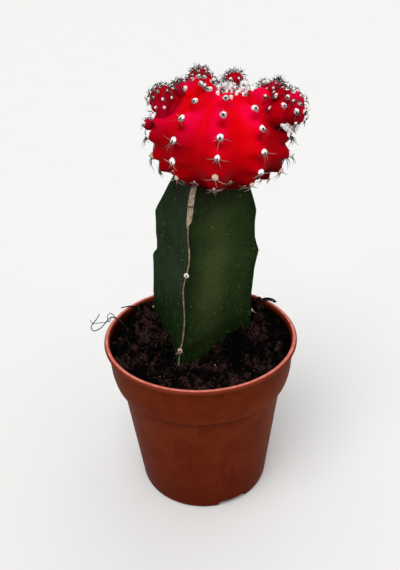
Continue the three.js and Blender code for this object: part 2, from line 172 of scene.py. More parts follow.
# Copies of a few models, each put at its own place, as one piece. A place is (model, matrix, tone). Each vertex
# also keeps its place on the model: its height, its Y and how near it is to the middle of the top.
def scatter(name, models, places):
    form = bmesh.new()
    tone, rise, side, middle = (form.verts.layers.float.new(layer) for layer in ("tone", "rise", "side", "middle"))
    for model, matrix, shade in places:
        first = len(form.verts)
        form.from_mesh(models[model].data)
        form.verts.ensure_lookup_table()
        for vertex in form.verts[first:]:
            vertex[tone], vertex[rise], vertex[side] = shade, vertex.co.z, vertex.co.y
            vertex[middle] = bump(math.hypot(vertex.co.x, 0.7 * (vertex.co.y + 0.3)), 0.4) if vertex.co.z > 0 else 0
            vertex.co = matrix @ vertex.co
    mesh = bpy.data.meshes.new(name)
    form.to_mesh(mesh)
    form.free()
    piece = bpy.data.objects.new(name, mesh)
    bpy.context.scene.collection.objects.link(piece)
    return piece


def discard(pieces):
    for piece in pieces:
        bpy.data.objects.remove(piece)


# Materials

class Signal:  # a shader socket that takes part in sums
    def __init__(self, finish, socket):
        self.finish, self.socket = finish, socket

    def math(self, operation, first, second):
        return self.finish.node("ShaderNodeMath", {"operation": operation}, {0: first, 1: second})

    def __add__(self, other):
        return self.math("ADD", self, other)

    def __sub__(self, other):
        return self.math("SUBTRACT", self, other)

    def __rsub__(self, other):
        return self.math("SUBTRACT", other, self)

    def __mul__(self, other):
        return self.math("MULTIPLY", self, other)

    __radd__, __rmul__ = __add__, __mul__

    def between(self, low, high):  # rises from 0 at low to 1 at high
        return self.finish.node("ShaderNodeMapRange", {"interpolation_type": "SMOOTHSTEP"},
                                {"Value": self, "From Min": low, "From Max": high})


def colour(red, green, blue):  # from a shown colour, 0 to 255
    return tuple((c / 12.92 if c <= 0.04045 else ((c + 0.055) / 1.055) ** 2.4)
                 for c in (red / 255, green / 255, blue / 255)) + (1.0,)


class Finish:  # a material on one shader, whose colours have names
    def __init__(self, name, colours, constants):
        self.colours = colours
        self.material = bpy.data.materials.new(name)
        self.material.use_nodes = True
        self.tree = self.material.node_tree
        self.shader = self.tree.nodes["Principled BSDF"]
        for socket, value in constants.items():
            self.shader.inputs[socket].default_value = value
        texture = self.node("ShaderNodeTexCoord", {}, {}, "Object")
        self.spot = self.node("ShaderNodeMapping", {}, {"Vector": texture, "Scale": (1000, 1000, 1000)}, "Vector")

    def node(self, kind, settings, inputs, output=0):
        made = self.tree.nodes.new(kind)
        for name, value in settings.items():
            if name == "stops":
                ramp = made.color_ramp
                while len(ramp.elements) < len(value):
                    ramp.elements.new(0.5)
                for stop, (place, shade) in zip(ramp.elements, value):
                    stop.position, stop.color = place, shade
            else:
                setattr(made, name, value)
        for name, value in inputs.items():
            self.feed(made.inputs[name], value)
        return Signal(self, made.outputs[output])

    def feed(self, socket, value):
        if isinstance(value, Signal):
            self.tree.links.new(value.socket, socket)
        else:
            socket.default_value = value

    def shade(self, **values):  # what varies over the surface
        for name, value in values.items():
            self.feed(self.shader.inputs[name.replace("_", " ")], value)

    def stretched(self, scale):
        return self.node("ShaderNodeMapping", {}, {"Vector": self.spot, "Scale": scale}, "Vector")

    def noise(self, size, detail=2.0, rough=0.5, on=None):
        return self.node("ShaderNodeTexNoise", {},
                         {"Vector": on or self.spot, "Scale": 1 / size, "Detail": detail, "Roughness": rough})

    def grains(self, size):  # distance to the nearest of scattered points
        return self.node("ShaderNodeTexVoronoi", {}, {"Vector": self.spot, "Scale": 1 / size})

    def axis(self, name):
        return self.node("ShaderNodeSeparateXYZ", {}, {"Vector": self.spot}, name)

    def painted(self, name):
        return self.node("ShaderNodeAttribute", {"attribute_name": name}, {}, "Fac")

    def tint(self, shade):  # a colour by its name, or as it is
        return colour(*self.colours[shade]) if isinstance(shade, str) else shade

    def mix(self, share, first, second):
        return self.node("ShaderNodeMix", {"data_type": "RGBA"},
                         {0: share, 6: self.tint(first), 7: self.tint(second)}, 2)

    def layered(self, base, **shares):  # lays the named colours over a base, each by its share
        for name, share in shares.items():
            base = self.mix(share, base, name)
        return base

    def ramp(self, value, stops):
        stops = [(place, self.tint(name)) for place, name in stops]
        return self.node("ShaderNodeValToRGB", {"stops": stops}, {"Fac": value})

    def relief(self, height, strength, depth):  # depth in millimetres
        return self.node("ShaderNodeBump", {},
                         {"Height": height, "Strength": strength, "Distance": depth / 1000}, "Normal")


# Camera, at the height and distance that the pot's rim and foot ask for

cameraView = {"place": (0.33, -150.39, 147.27), "elevation": 28.67, "roll": -1.83, "lens": 39.32, "sensor": 36,
              "clip": (0.01, 50)}


def makeCamera():
    elevation, roll = math.radians(cameraView["elevation"]), math.radians(cameraView["roll"])
    back = Vector((0, -math.cos(elevation), math.sin(elevation)))
    level, high = Vector((1, 0, 0)), back.cross(Vector((1, 0, 0)))
    right = level * math.cos(roll) + high * math.sin(roll)
    up = high * math.cos(roll) - level * math.sin(roll)
    lens = bpy.data.cameras.new("camera")
    lens.lens, lens.sensor_width = cameraView["lens"], cameraView["sensor"]
    lens.clip_start, lens.clip_end = cameraView["clip"]
    camera = bpy.data.objects.new("camera", lens)
    bpy.context.scene.collection.objects.link(camera)
    turn = Matrix((right, up, back)).transposed().to_4x4()
    camera.matrix_world = Matrix.Translation(Vector(cameraView["place"]) / 1000) @ turn
    bpy.context.scene.camera = camera


makeCamera()
print("camera placed")


# Pot

potForm = {
    "lipCentre": (26.75, 48.85), "lipRadius": 0.75,
    "outside": [(0, 0), (18.3, 0), (18.9, 0.1), (19.25, 0.45), (19.45, 1.1), (20.6, 11), (22.2, 24.5), (23.62, 36.3),
                (23.75, 36.75), (24.1, 36.9), (24.95, 36.92), (25.25, 37.1), (25.42, 37.6), (25.8, 39.2),
                (26.05, 40.6), (26.25, 43.5), (26.45, 46.8), (26.55, 47.9)],
    "inside": [(25.75, 47.9), (25.5, 46.9), (25.2, 43.5), (25.0, 40.2), (24.35, 38.3), (22.7, 37.6), (21.2, 24.5),
               (18.5, 2.3), (18.1, 1.5), (17.4, 1.2), (0, 1.2)],
    "turns": 144, "floor": 1.2, "insideTop": 48.8, "wall": 0.4, "sharpAt": 38,
    # The step and inside colours are painted shade, side is painted light, and rim and lip are painted highlights.
    "colours": {"dark": (92, 31, 9), "light": (104, 40, 15), "streak": (84, 26, 8), "patch": (112, 48, 24),
                "foot": (78, 16, 2), "stain": (60, 14, 6), "step": (66, 22, 8), "inside": (20, 1, 0),
                "side": (124, 60, 34), "rim": (140, 58, 42), "lip": (214, 112, 96), "paleLip": (240, 150, 136)},
}

drainForm = {"azimuths": (-65, 55, 175), "width": 27, "height": 1.7, "innerRadius": 13.8, "sideWall": 3.4,
             "endWall": 1.0, "baseRadius": 18.4, "reach": 28, "holeRadius": 1.5, "holeDepth": 8, "holeAt": 16.3}


def sectorBlock(inner, outer, azimuth, width, low, high):
    bpy.ops.mesh.primitive_grid_add(x_subdivisions=20, y_subdivisions=1, size=1)
    block = added("block")
    edit(block)
    extrude(0, 0, 1)
    deselectAll()
    for vertex in block.data.vertices:
        angle = math.radians(azimuth + vertex.co.x * width)
        radius = blend(inner, outer, vertex.co.y + 0.5)
        vertex.co = polar(radius, angle, blend(low, high, vertex.co.z))
    closeUp(block)
    return block


def modelPot():
    (lipX, lipZ), radius = potForm["lipCentre"], potForm["lipRadius"]
    lip = [(lipX + radius * math.cos(math.radians(angle)), lipZ + radius * math.sin(math.radians(angle)))
           for angle in range(-75, 181, 15)]
    profile = potForm["outside"] + lip + potForm["inside"]
    bpy.ops.mesh.primitive_plane_add(size=1)
    piece = added("pot_shell")
    edit(piece)
    bpy.ops.mesh.merge(type="CENTER")
    for (r, z), (nextR, nextZ) in zip(profile, profile[1:]):
        extrude(nextR - r, 0, nextZ - z)
    bpy.ops.mesh.select_all(action="SELECT")
    bpy.ops.mesh.spin(steps=potForm["turns"], angle=math.tau, center=(0, 0, 0), axis=(0, 0, 1))
    closeUp(piece)
    floor, inner, azimuths = potForm["floor"], drainForm["innerRadius"], drainForm["azimuths"]
    wide = drainForm["width"] + 2 * drainForm["sideWall"]
    carve(piece, "UNION", [sectorBlock(inner - drainForm["endWall"], drainForm["baseRadius"], azimuth, wide, floor / 2,
                                       drainForm["height"] + floor) for azimuth in azimuths])
    pockets = [sectorBlock(inner, drainForm["reach"], azimuth, drainForm["width"], -1, drainForm["height"])
               for azimuth in azimuths]
    for azimuth in azimuths:
        bpy.ops.mesh.primitive_cylinder_add(
            vertices=24, radius=drainForm["holeRadius"], depth=drainForm["holeDepth"],
            location=polar(drainForm["holeAt"], math.radians(azimuth)))
        bpy.ops.object.transform_apply()
        pockets.append(added("hole"))
    carve(piece, "DIFFERENCE", pockets)
    outside = [(z, r) for r, z in potForm["outside"][4:]]
    # marks the inside of the pot, where painted shade goes
    paint(piece, "inside", [
        1.0 if (floor < vertex.co.z < potForm["insideTop"]
                and vertex.co.xy.length < along(outside, vertex.co.z) - potForm["wall"]) else 0.0
        for vertex in piece.data.vertices])
    return piece


def potFinish():
    finish = Finish("terracotta plastic", potForm["colours"], {"Specular IOR Level": 0.015})
    height, aside = finish.axis("Z"), finish.axis("X")
    cloud = finish.noise(8, 3, 0.6)
    streak = finish.noise(1, 3, 0.6, finish.stretched((0.28, 0.28, 0.04)))
    stain = finish.noise(2.4, 2, 0.4).between(0.7, 0.78) * height.between(47, 44)
    body = finish.layered(
        finish.mix(cloud.between(0.3, 0.7), "dark", "light"),
        streak=streak.between(0.52, 0.72) * 0.5,
        patch=finish.noise(2.2, 3, 0.6).between(0.52, 0.7) * 0.35,
        foot=height.between(24, 0) * 0.6,
        stain=stain * 0.45,
        # painted shadow under the collar's step
        step=height.between(36.9, 35.2) * height.between(33.5, 35.6) * 0.4,
        # painted shade on the inside of the pot, deeper towards the right
        inside=finish.painted("inside") * (0.85 + aside.between(6, 18) * 0.12),
        # painted light on the right side of the wall
        side=aside.between(12, 24) * height.between(47, 40) * 0.3,
        # painted highlight on the upper part of the rim
        rim=height.between(48.6, 49.3) * 0.5)
    # the lip colours are a painted highlight along the lip's top
    lip = finish.mix(finish.noise(1.5).between(0.3, 0.8), "lip", "paleLip")
    body = finish.mix(height.between(49.42, 49.56), body, lip)
    finish.shade(Base_Color=body, Roughness=0.42 + cloud * 0.14 + stain * 0.2,
                 Normal=finish.relief(finish.noise(0.25, 2) + finish.noise(3) * 1.5, 0.25, 0.06))
    return finish


finished(modelPot(), potFinish(), "pot", potForm["sharpAt"])
print("pot made")


# Rootstock

stockForm = {
    "bottom": 27.0, "bottomScale": 0.6, "taperFrom": 44.0, "top": 95.4, "level": 46.0,
    "centre": (-1.9, 4.2), "lean": (0.1, 0.005), "edge": 0.5, "scarEdge": 0.78, "edgeRound": 0.35,
    # bands: how much of the olive band and its painted light each face has
    "rows": 120, "faceSteps": 22, "swell": 0.8, "swellSpread": 1.5, "bands": (1, 0.6, 0), "bandAt": (0.37, 0.43),
    "roomRows": 14, "roomSteps": 8, "roomGap": 0.05, "roomHeight": 8,
    # foot and top are painted shade: near the soil and under the globe
    "colours": {"dark": (17, 36, 16), "light": (32, 50, 22), "band": (66, 76, 38), "glow": (92, 100, 60),
                "foot": (16, 38, 12), "top": (22, 25, 15), "mottle": (14, 26, 13), "fleck": (50, 70, 34),
                "streak": (68, 88, 46), "dot": (150, 158, 130), "edge": (18, 20, 12), "cork": (98, 90, 68),
                "paleCork": (146, 134, 106), "cut": (128, 112, 94), "paleCut": (172, 156, 136),
                "nick": (60, 44, 36)},
}

wings = [
    {"azimuth": -105, "scar": 87, "areoles": ((51.7, 0.5, 5), (74.3, 0.5, 0)), "before": (15, 8), "after": (-32, 6.5),
     "margin": [(46, 17.2), (51.7, 16.5), (57, 15.7), (67, 15.8), (74.3, 16.4), (78, 15.6), (88, 16), (91, 14.2),
                (94, 11.2), (95.4, 9.2)],
     "sway": [(50, 0), (51.7, 0.1), (54, 0.4), (60, 0.5), (64, 0.15), (68, -0.3), (70, -0.4), (72, -0.1), (74.3, 0.4),
              (77, 0.6), (80, 0.5), (84, -0.1), (90, -0.25), (94, -0.9)]},
    {"azimuth": 9.5, "scar": 84, "areoles": ((52.3, 0.42, 3), (72, 0.15, 0)), "before": (5, 6.2), "after": (0, 7),
     "margin": [(46, 17), (52.3, 16.5), (57, 16.2), (66.8, 16), (72, 16.4), (76, 15.1), (80.3, 14.6), (84.1, 14.5),
                (88.4, 12.9), (94, 10.6), (95.4, 8.8)],
     "sway": [(46, 0.3), (52, -0.1), (58, 0.4), (71, -0.3), (78, 0.4), (88, -0.2)]},
    {"azimuth": 135, "scar": 80.7, "areoles": ((48.6, 0.42, 4), (66, 0.15, 0)), "before": (0, 7), "after": (-22, 6.5),
     "margin": [(46, 17.3), (56, 17.7), (61, 18.3), (66, 19), (67.4, 18.6), (68.8, 17.3), (72, 17.1), (77.4, 17.9),
                (80.7, 18.5), (89, 13.9), (94, 10.9), (95.4, 9)],
     "sway": [(46, -0.2), (55, 0.4), (66, -0.2), (74, 0.5), (86, 0)]},
]


def stemCentre(height):
    rise = height - stockForm["level"]
    return Vector((stockForm["centre"][0] + stockForm["lean"][0] * rise,
                   stockForm["centre"][1] + stockForm["lean"][1] * rise, height))


def stockEdges(height, clearance):  # the three margins at one level
    depth = max(height - stockForm["bottom"], 0) / (stockForm["taperFrom"] - stockForm["bottom"])
    scale = blend(stockForm["bottomScale"], 1, math.sqrt(min(depth, 1)))
    edges = []
    for wing in wings:
        swell = sum(stockForm["swell"] * size * bump(height - at, stockForm["swellSpread"])
                    for at, size, count in wing["areoles"])
        out = polar(1, math.radians(wing["azimuth"]))
        aside = Vector((-out.y, out.x, 0))
        edges.append({
            "wing": wing, "out": out, "aside": aside, "scale": scale,
            "middle": stemCentre(height) + aside * (scale * along(wing["sway"], height)),
            "reach": scale * (along(wing["margin"], height) + swell) + clearance,
            "half": blend(stockForm["edge"], stockForm["scarEdge"], ease((height - wing["scar"]) / 2)) + clearance,
        })
    return edges


def marginPoint(edge, fall, side):
    return edge["middle"] + edge["out"] * (edge["reach"] - fall) + edge["aside"] * edge["half"] * side


def faceEnd(edge, side, bend):  # where a face meets a margin, and the handle that bends it there
    start = marginPoint(edge, stockForm["edgeRound"], side)
    return start, start + turned(math.radians(bend[0])) @ -edge["out"] * bend[1] * edge["scale"]


@cache
def stockOutline(height, clearance, steps):
    # One level outline: points with how much they are margin, which face, where on it, and which side of the margin.
    edges = stockEdges(height, clearance)
    outline = []
    for i, (edge, following) in enumerate(zip(edges, edges[1:] + edges[:1])):
        for side, fall in ((-0.95, 0.22), (-0.5, 0.04), (0, 0), (0.5, 0.04), (0.95, 0.22)):
            outline.append((marginPoint(edge, fall, side), 1 - abs(side) * 0.3, i, 0.0, side))
        start, leaving = faceEnd(edge, 1, edge["wing"]["after"])
        end, meeting = faceEnd(following, -1, following["wing"]["before"])
        for step in range(steps + 1):
            t = blend(step / steps, (1 - math.cos(math.pi * step / steps)) / 2, 0.6)
            point = (start * (1 - t) ** 3 + leaving * 3 * t * (1 - t) ** 2 + meeting * 3 * t * t * (1 - t)
                     + end * t ** 3)
            outline.append((point, 0.35 if step in (0, steps) else 0.0, i, t, 1 - 2 * round(t)))
    return outline


def wrapStock(name, low, high, rows, clearance, steps):  # a grid wrapped round the stem and closed at both ends
    count = len(stockOutline(low, clearance, steps))
    bpy.ops.mesh.primitive_grid_add(x_subdivisions=count, y_subdivisions=rows, size=1)
    piece = added(name)
    margin, scar, band = [], [], []
    for vertex in piece.data.vertices:
        column = round((vertex.co.x + 0.5) * count) % count
        height = blend(low, high, vertex.co.y + 0.5)
        point, edge, face, t, side = stockOutline(height, clearance, steps)[column]
        vertex.co = point
        margin.append(edge)
        cut = wings[face if t < 0.5 else (face + 1) % len(wings)]["scar"] + 0.9 * side
        scar.append(ease((height - cut) / 0.7) if edge > 0.3 else 0.0)
        middle = blend(*stockForm["bandAt"], (height - 50) / 35)
        # an olive band down each face, and painted light that makes whole faces lighter, the front face most
        band.append(stockForm["bands"][face] * (0.45 + 0.55 * bump(t - middle, 0.16)) * ease(6 * t) * ease(6 - 6 * t))
    for name, values in (("margin", margin), ("scar", scar), ("band", band)):
        paint(piece, name, values)
    edit(piece)
    bpy.ops.mesh.remove_doubles(threshold=0.0005)
    bpy.ops.mesh.select_all(action="DESELECT")
    bpy.ops.mesh.select_non_manifold()
    bpy.ops.mesh.edge_face_add()
    bpy.ops.mesh.select_all(action="SELECT")
    bpy.ops.mesh.normals_make_consistent(inside=False)
    deselectAll()
    return piece


def modelStock():
    piece = wrapStock("stock_body", stockForm["bottom"], stockForm["top"], stockForm["rows"], 0,
                      stockForm["faceSteps"])
    edges = piece.data.attributes["margin"].data
    for vertex in piece.data.vertices:
        soft = ease((stockForm["top"] - vertex.co.z) / 3) * (1 - 0.8 * edges[vertex.index].value)
        wave = 0.22 * noise.noise(vertex.co / 8) + 0.08 * noise.noise(vertex.co / 2.5)  # broad and fine
        vertex.co += vertex.normal * wave * soft
    return piece


def stockFinish():
    finish = Finish("green waxy stem", stockForm["colours"], {"Specular IOR Level": 0.01})
    height = finish.axis("Z")
    band, margin = finish.painted("band"), finish.painted("margin")
    cloud = finish.noise(6, 4, 0.6)
    fine = finish.noise(0.8, 3, 0.65)
    streaks = finish.noise(1, 3, 0.65, finish.stretched((1.2, 1.2, 0.55)))
    skin = finish.layered(
        finish.mix(cloud.between(0.32, 0.7), "dark", "light"),
        # the olive band, with painted light on the faces
        band=band * 0.6,
        glow=band.between(0.4, 0.9) * height.between(81, 74) * height.between(53, 63) * 0.22,
        # painted shade low on the stem, near the soil
        foot=height.between(60, 46) * 0.5,
        # painted shadow of the globe at the top of the stem
        top=height.between(84, 93) * 0.75,
        mottle=fine.between(0.5, 0.75) * 0.6,
        fleck=fine.between(0.46, 0.3) * 0.35,
        streak=streaks.between(0.56, 0.72) * (0.25 + height.between(74, 56) * 0.5),
        dot=finish.grains(2.2).between(0.13, 0.07) * finish.noise(3.1).between(0.54, 0.6) * 0.8,
        edge=margin.between(0.3, 0.7) * 0.75)
    line = (margin + (fine - 0.5) * 0.1).between(0.84, 0.92)
    skin = finish.mix(line, skin, finish.mix(fine.between(0.35, 0.7), "cork", "paleCork"))
    grain = finish.noise(1, 2, 0.5, finish.stretched((2.5, 2.5, 0.5)))
    nick = height.between(91.1, 91.35) * height.between(91.75, 91.5) * finish.axis("Y").between(-6, -8)
    cut = finish.layered(finish.mix(grain.between(0.35, 0.65), "cut", "paleCut"), nick=nick * 0.7)
    skin = finish.mix(finish.painted("scar").between(0.3, 0.7) * margin.between(0.66, 0.76), skin, cut)
    finish.shade(Base_Color=skin, Roughness=0.5 + cloud * 0.16 + line * 0.25,
                 Normal=finish.relief(fine * 0.6 + streaks + line * 1.5, 0.35, 0.12))
    return finish


stock = modelStock()
stockRoom = wrapStock("stock_room", stockForm["bottom"] - 0.2, stockForm["level"] + stockForm["roomHeight"],
                      stockForm["roomRows"], stockForm["roomGap"], stockForm["roomSteps"])
print("rootstock made")


# Soil

soilForm = {
    "level": 46.0, "radius": 25, "cells": 190, "looseEdge": 0.2,
    "forms": [(-16.5, 17.5, 3.2, 6.2), (17.5, 16, 2.6, 3.6), (3.5, -8, -1.9, 5)],  # X, Y, height and width of each
    # painted shade beside the stock's foot, and a lighter patch at the front
    "shadePatches": [(10, -3, 0.5, 6), (8, -17, -0.25, 7)],  # X, Y, darkness and width of each
    "wall": [(1.6, 17.4), (2.6, 18.4), (24.5, 21.1), (37.6, 22.6), (38.4, 24.2), (40.2, 24.92), (43.5, 25.12),
             (46.9, 25.42), (49, 25.6)],
    "levels": (41.5, 38.2, 37.2, 20, 2.4, 1.5),
    "crumbs": 5200, "crumbSize": (0.22, 1.0), "fibres": 700, "fibreLength": (0.8, 3.0), "grit": 7,
    "gritSize": (0.22, 0.45),
    "colours": {"deep": (2, 1, 2), "dark": (9, 5, 5), "brown": (25, 14, 13), "pale": (70, 46, 42),
                "fibre": (18, 11, 10), "paleFibre": (96, 66, 58), "grit": (110, 100, 92),
                "paleGrit": (170, 162, 152)},
}


def soilClumps(x, y):  # 0 in the holes to about 1 on the lumps
    spot = Vector((x, y, 3))
    return 1.5 * abs(noise.noise(spot / 3.4)) + 0.9 * abs(noise.noise(spot / 1.5)) + 0.25 * noise.noise(spot / 0.6)


# Darker in the holes and lighter on the lumps, painted shade and light, with a random tone, less where the shade
# patches lie
def soilTone(x, y):
    shadePatches = sum(dark * bump(math.hypot(x - atX, y - atY), wide) for atX, atY, dark, wide in soilForm["shadePatches"])
    return ease(0.9 * soilClumps(x, y) + 0.9 * noise.noise(Vector((x, y, 40)) / 6.5) - shadePatches)


def soilHeight(x, y):
    height = soilForm["level"]
    for atX, atY, high, wide in soilForm["forms"]:
        height += high * bump(math.hypot(x - atX, y - atY), wide)
    return height + 0.9 * noise.noise(Vector((x, y, 3)) / 5.5) + 2.4 * (soilClumps(x, y) - 0.4)


def insideStock(x, y):
    corners = [place[0] for place in stockOutline(stockForm["level"], stockForm["roomGap"], stockForm["roomSteps"])]
    inside = False
    for a, b in zip(corners, corners[1:] + corners[:1]):
        if (a.y > y) != (b.y > y) and x < a.x + (y - a.y) * (b.x - a.x) / (b.y - a.y):
            inside = not inside
    return inside


def modelSoil():
    cells = soilForm["cells"]
    bpy.ops.mesh.primitive_grid_add(x_subdivisions=cells, y_subdivisions=cells, size=2)
    piece = added("soil_bed")
    for vertex in piece.data.vertices:
        a, b = vertex.co.x, vertex.co.y
        x, y = a * math.sqrt(1 - b * b / 2), b * math.sqrt(1 - a * a / 2)
        edge = along(soilForm["wall"], soilHeight(soilForm["radius"] * x, soilForm["radius"] * y))
        x, y = x * edge, y * edge
        loose = soilForm["looseEdge"] * (1 - ease((math.hypot(x, y) - edge + 1.5) / 1.2))
        spot = Vector((x, y, 9)) / 0.8
        vertex.co = (x + loose * noise.noise(spot), y + loose * noise.noise(spot + Vector((7, 3, 1))),
                     soilHeight(x, y))
    edit(piece)
    bpy.ops.mesh.select_all(action="DESELECT")
    bpy.ops.mesh.select_non_manifold()
    for height in soilForm["levels"]:
        extrude(0, 0, 0)
        deselectAll()
        ring = [vertex for vertex in piece.data.vertices if vertex.select]
        radius = along(soilForm["wall"], height)
        for vertex in ring:
            vertex.co = polar(radius, math.atan2(vertex.co.y, vertex.co.x), height)
        pick(piece)
        bpy.ops.object.mode_set(mode="EDIT")
    bpy.ops.mesh.edge_face_add()
    deselectAll()
    closeUp(piece, 0.0001)
    wide = drainForm["width"] + 2 * drainForm["sideWall"] + 2
    inner, high = drainForm["innerRadius"] - drainForm["endWall"] - 0.1, drainForm["height"] + potForm["floor"] + 0.1
    blocks = [sectorBlock(inner, drainForm["reach"], azimuth, wide, -1, high) for azimuth in drainForm["azimuths"]]
    carve(piece, "DIFFERENCE", [stockRoom] + blocks)
    paint(piece, "tone", [soilTone(vertex.co.x, vertex.co.y) for vertex in piece.data.vertices])
    return piece


def modelCrumbs():  # a few lumps to copy
    lumps = []
    for i in range(6):
        bpy.ops.mesh.primitive_ico_sphere_add(subdivisions=1, radius=0.5)
        lump = added("lump")
        for vertex in lump.data.vertices:
            vertex.co *= 1 + 1.1 * noise.noise(vertex.co * 4 + Vector((i * 5, 0, 0)))
        lumps.append(lump)
    return lumps


def modelStrand(name, form):  # a slim strand of length 1 that points up and bends to +X
    bpy.ops.mesh.primitive_circle_add(vertices=form["sides"], radius=form["thick"], fill_type="NGON")
    piece = added(name)
    edit(piece)
    lastX = lastZ = 0.0
    lastWidth = 1.0
    for step in range(1, form["steps"] + 1):
        t = step / form["steps"]
        x, z = form["bend"] * t * t, t * (1 - 0.25 * form["bend"] * t)
        width = blend(1, form["tip"], t ** 1.3)
        extrude(x - lastX, 0, z - lastZ)
        bpy.ops.transform.resize(value=(width / lastWidth,) * 3, center_override=(x, 0, z))
        lastX, lastZ, lastWidth = x, z, width
    closeUp(piece, 1e-5)
    return piece


def anyTurn():
    return turned(chance.uniform(0, math.tau), Vector([chance.gauss(0, 1) for k in range(3)]).normalized())


def placed(spot, turn, size):
    grow = size if isinstance(size, tuple) else (size,) * 3
    return Matrix.Translation(spot) @ turn.to_4x4() @ Matrix.Diagonal(grow + (1,))


def soilSpot(reach):
    while True:
        spot = polar(reach * math.sqrt(chance.random()), chance.uniform(0, math.tau))
        if not insideStock(spot.x, spot.y):
            return Vector((spot.x, spot.y, soilHeight(spot.x, spot.y)))


def layCrumbs():
    lumps = modelCrumbs()
    places = []
    for i in range(soilForm["crumbs"]):
        low, high = soilForm["crumbSize"]
        size = blend(low, high, chance.random() ** 2.6)
        spot = soilSpot(24.9 - size / 2)
        spot.z += size * chance.uniform(-0.1, 0.4)
        stretch = tuple(size * chance.uniform(0.45, 1.5) for k in range(3))
        # crumbs share the bed's painted shade and light, with a random tone
        tone = 0.5 * soilTone(spot.x, spot.y) + 0.8 * chance.random() ** 2
        places.append((i % len(lumps), placed(spot, anyTurn(), stretch), tone))
    piece = scatter("soil_crumbs", lumps, places)
    discard(lumps)
    return piece


def layFibres():
    strands = [modelStrand("strand", {"sides": 3, "thick": thick, "steps": 4, "bend": bend, "tip": 0.5})
               for thick, bend in ((0.022, 0.15), (0.018, 0.35), (0.03, 0.6), (0.04, 0.3))]
    places = []
    for i in range(soilForm["fibres"]):
        spot = soilSpot(22.5)
        lie = turned(chance.uniform(0, math.tau))
        tip = turned(math.radians(chance.uniform(62, 96)), "Y")
        roll = turned(chance.uniform(0, math.tau))
        spot.z += 0.15
        # fibres share some of the bed's painted shade and light
        tone = 0.4 * soilTone(spot.x, spot.y) + 0.7 * chance.random()
        places.append((i % len(strands), placed(spot, lie @ tip @ roll, chance.uniform(*soilForm["fibreLength"])),
                       tone))
    piece = scatter("soil_fibres", strands, places)
    discard(strands)
    return piece


def layGrit():
    lumps = modelCrumbs()
    places = [(i % len(lumps),
               placed(soilSpot(23) + upward * 0.25, anyTurn(), chance.uniform(*soilForm["gritSize"])), 1.0)
              for i in range(soilForm["grit"])]
    piece = scatter("soil_grit", lumps, places)
    discard(lumps)
    return piece


def soilFinish():
    finish = Finish("dark peat", soilForm["colours"], {"Specular IOR Level": 0.05})
    grain = finish.noise(0.6, 4, 0.7)
    # the painted tone holds the bed's painted shade and light
    share = (finish.painted("tone") * 0.6 + grain * 1.1 - 0.25).between(0.25, 1.1)
    earth = finish.ramp(share, [(0.0, "deep"), (0.4, "dark"), (0.7, "brown"), (1.0, "pale")])
    finish.shade(Base_Color=earth, Roughness=0.85 + grain * 0.1,
                 Normal=finish.relief(grain + finish.noise(0.25, 3) * 0.6, 0.8, 0.25))
    return finish


def fibreFinish():
    finish = Finish("dry root fibre", soilForm["colours"], {"Specular IOR Level": 0.1})
    finish.shade(Base_Color=finish.mix(finish.painted("tone").between(0.3, 1), "fibre", "paleFibre"),
                 Roughness=0.7 + finish.noise(0.5) * 0.2)
    return finish


def gritFinish():
    finish = Finish("pale grit", soilForm["colours"], {"Specular IOR Level": 0.3})
    finish.shade(Base_Color=finish.mix(finish.noise(0.3), "grit", "paleGrit"),
                 Roughness=0.6 + finish.noise(0.4) * 0.2)
    return finish


peat = soilFinish()
finished(modelSoil(), peat, "soil")
finished(layCrumbs(), peat)
finished(layFibres(), fibreFinish())
finished(layGrit(), gritFinish())
print("soil made")


# Root fibres that lie over the rim

rootFibres = [
    {"thick": (0.2, 0.13), "line": [(-20.2, 6.4, 44.6), (-21.9, 7, 47.2), (-23.9, 7.6, 49.6), (-25.5, 8.3, 50.4),
                                   (-27, 8.8, 49.9), (-28.5, 9.3, 48), (-30.2, 9.8, 45.9), (-32.3, 10.1, 44.7),
                                   (-33.2, 10.2, 45.7), (-32.6, 10.2, 47.2), (-31.4, 10.2, 48.6),
                                   (-30.2, 10.2, 50.6)]},
    {"thick": (0.1, 0.08), "line": [(-32.6, 10.2, 47.2), (-30.4, 10.0, 47.6), (-28.6, 9.4, 48.1), (-27, 8.9, 48.9),
                                    (-26.6, 8.7, 49.9), (-25.9, 8.4, 50.6)]},
    {"thick": (0.1, 0.07), "line": [(-32.5, 10.2, 47.2), (-33.0, 10.3, 48.0), (-33.3, 10.4, 48.5)]},
    {"thick": (0.12, 0.09), "line": [(-24.9, 8.1, 50.1), (-26.4, 8.6, 51.7), (-27.6, 9.0, 50.6), (-27.7, 9.1, 49.0),
                                    (-26.9, 8.8, 48.5)]},
    {"thick": (0.24, 0.16), "line": [(-18.6, 15.6, 47.2), (-20.0, 15.6, 49.2), (-21.3, 15.4, 50.0), (-22.3, 14.9, 50.1),
                                    (-23.3, 15.0, 49.9), (-24.2, 14.7, 49.8)]},
    {"thick": (0.38, 0.28), "line": [(15.2, 13.2, 45.2), (16.6, 14.6, 47.6), (18, 15.8, 49.5), (19.6, 16.5, 50.3),
                                    (20.9, 16.6, 50.5), (22, 16.3, 50.5), (22.9, 15.9, 50.3), (23.7, 15.5, 49.7)]},
    {"thick": (0.3, 0.2), "line": [(16.9, 14.6, 48.0), (18.9, 15.6, 49.6), (20.6, 16.1, 50.2), (22.1, 15.7, 50.2),
                                   (23.2, 14.9, 49.9)]},
]


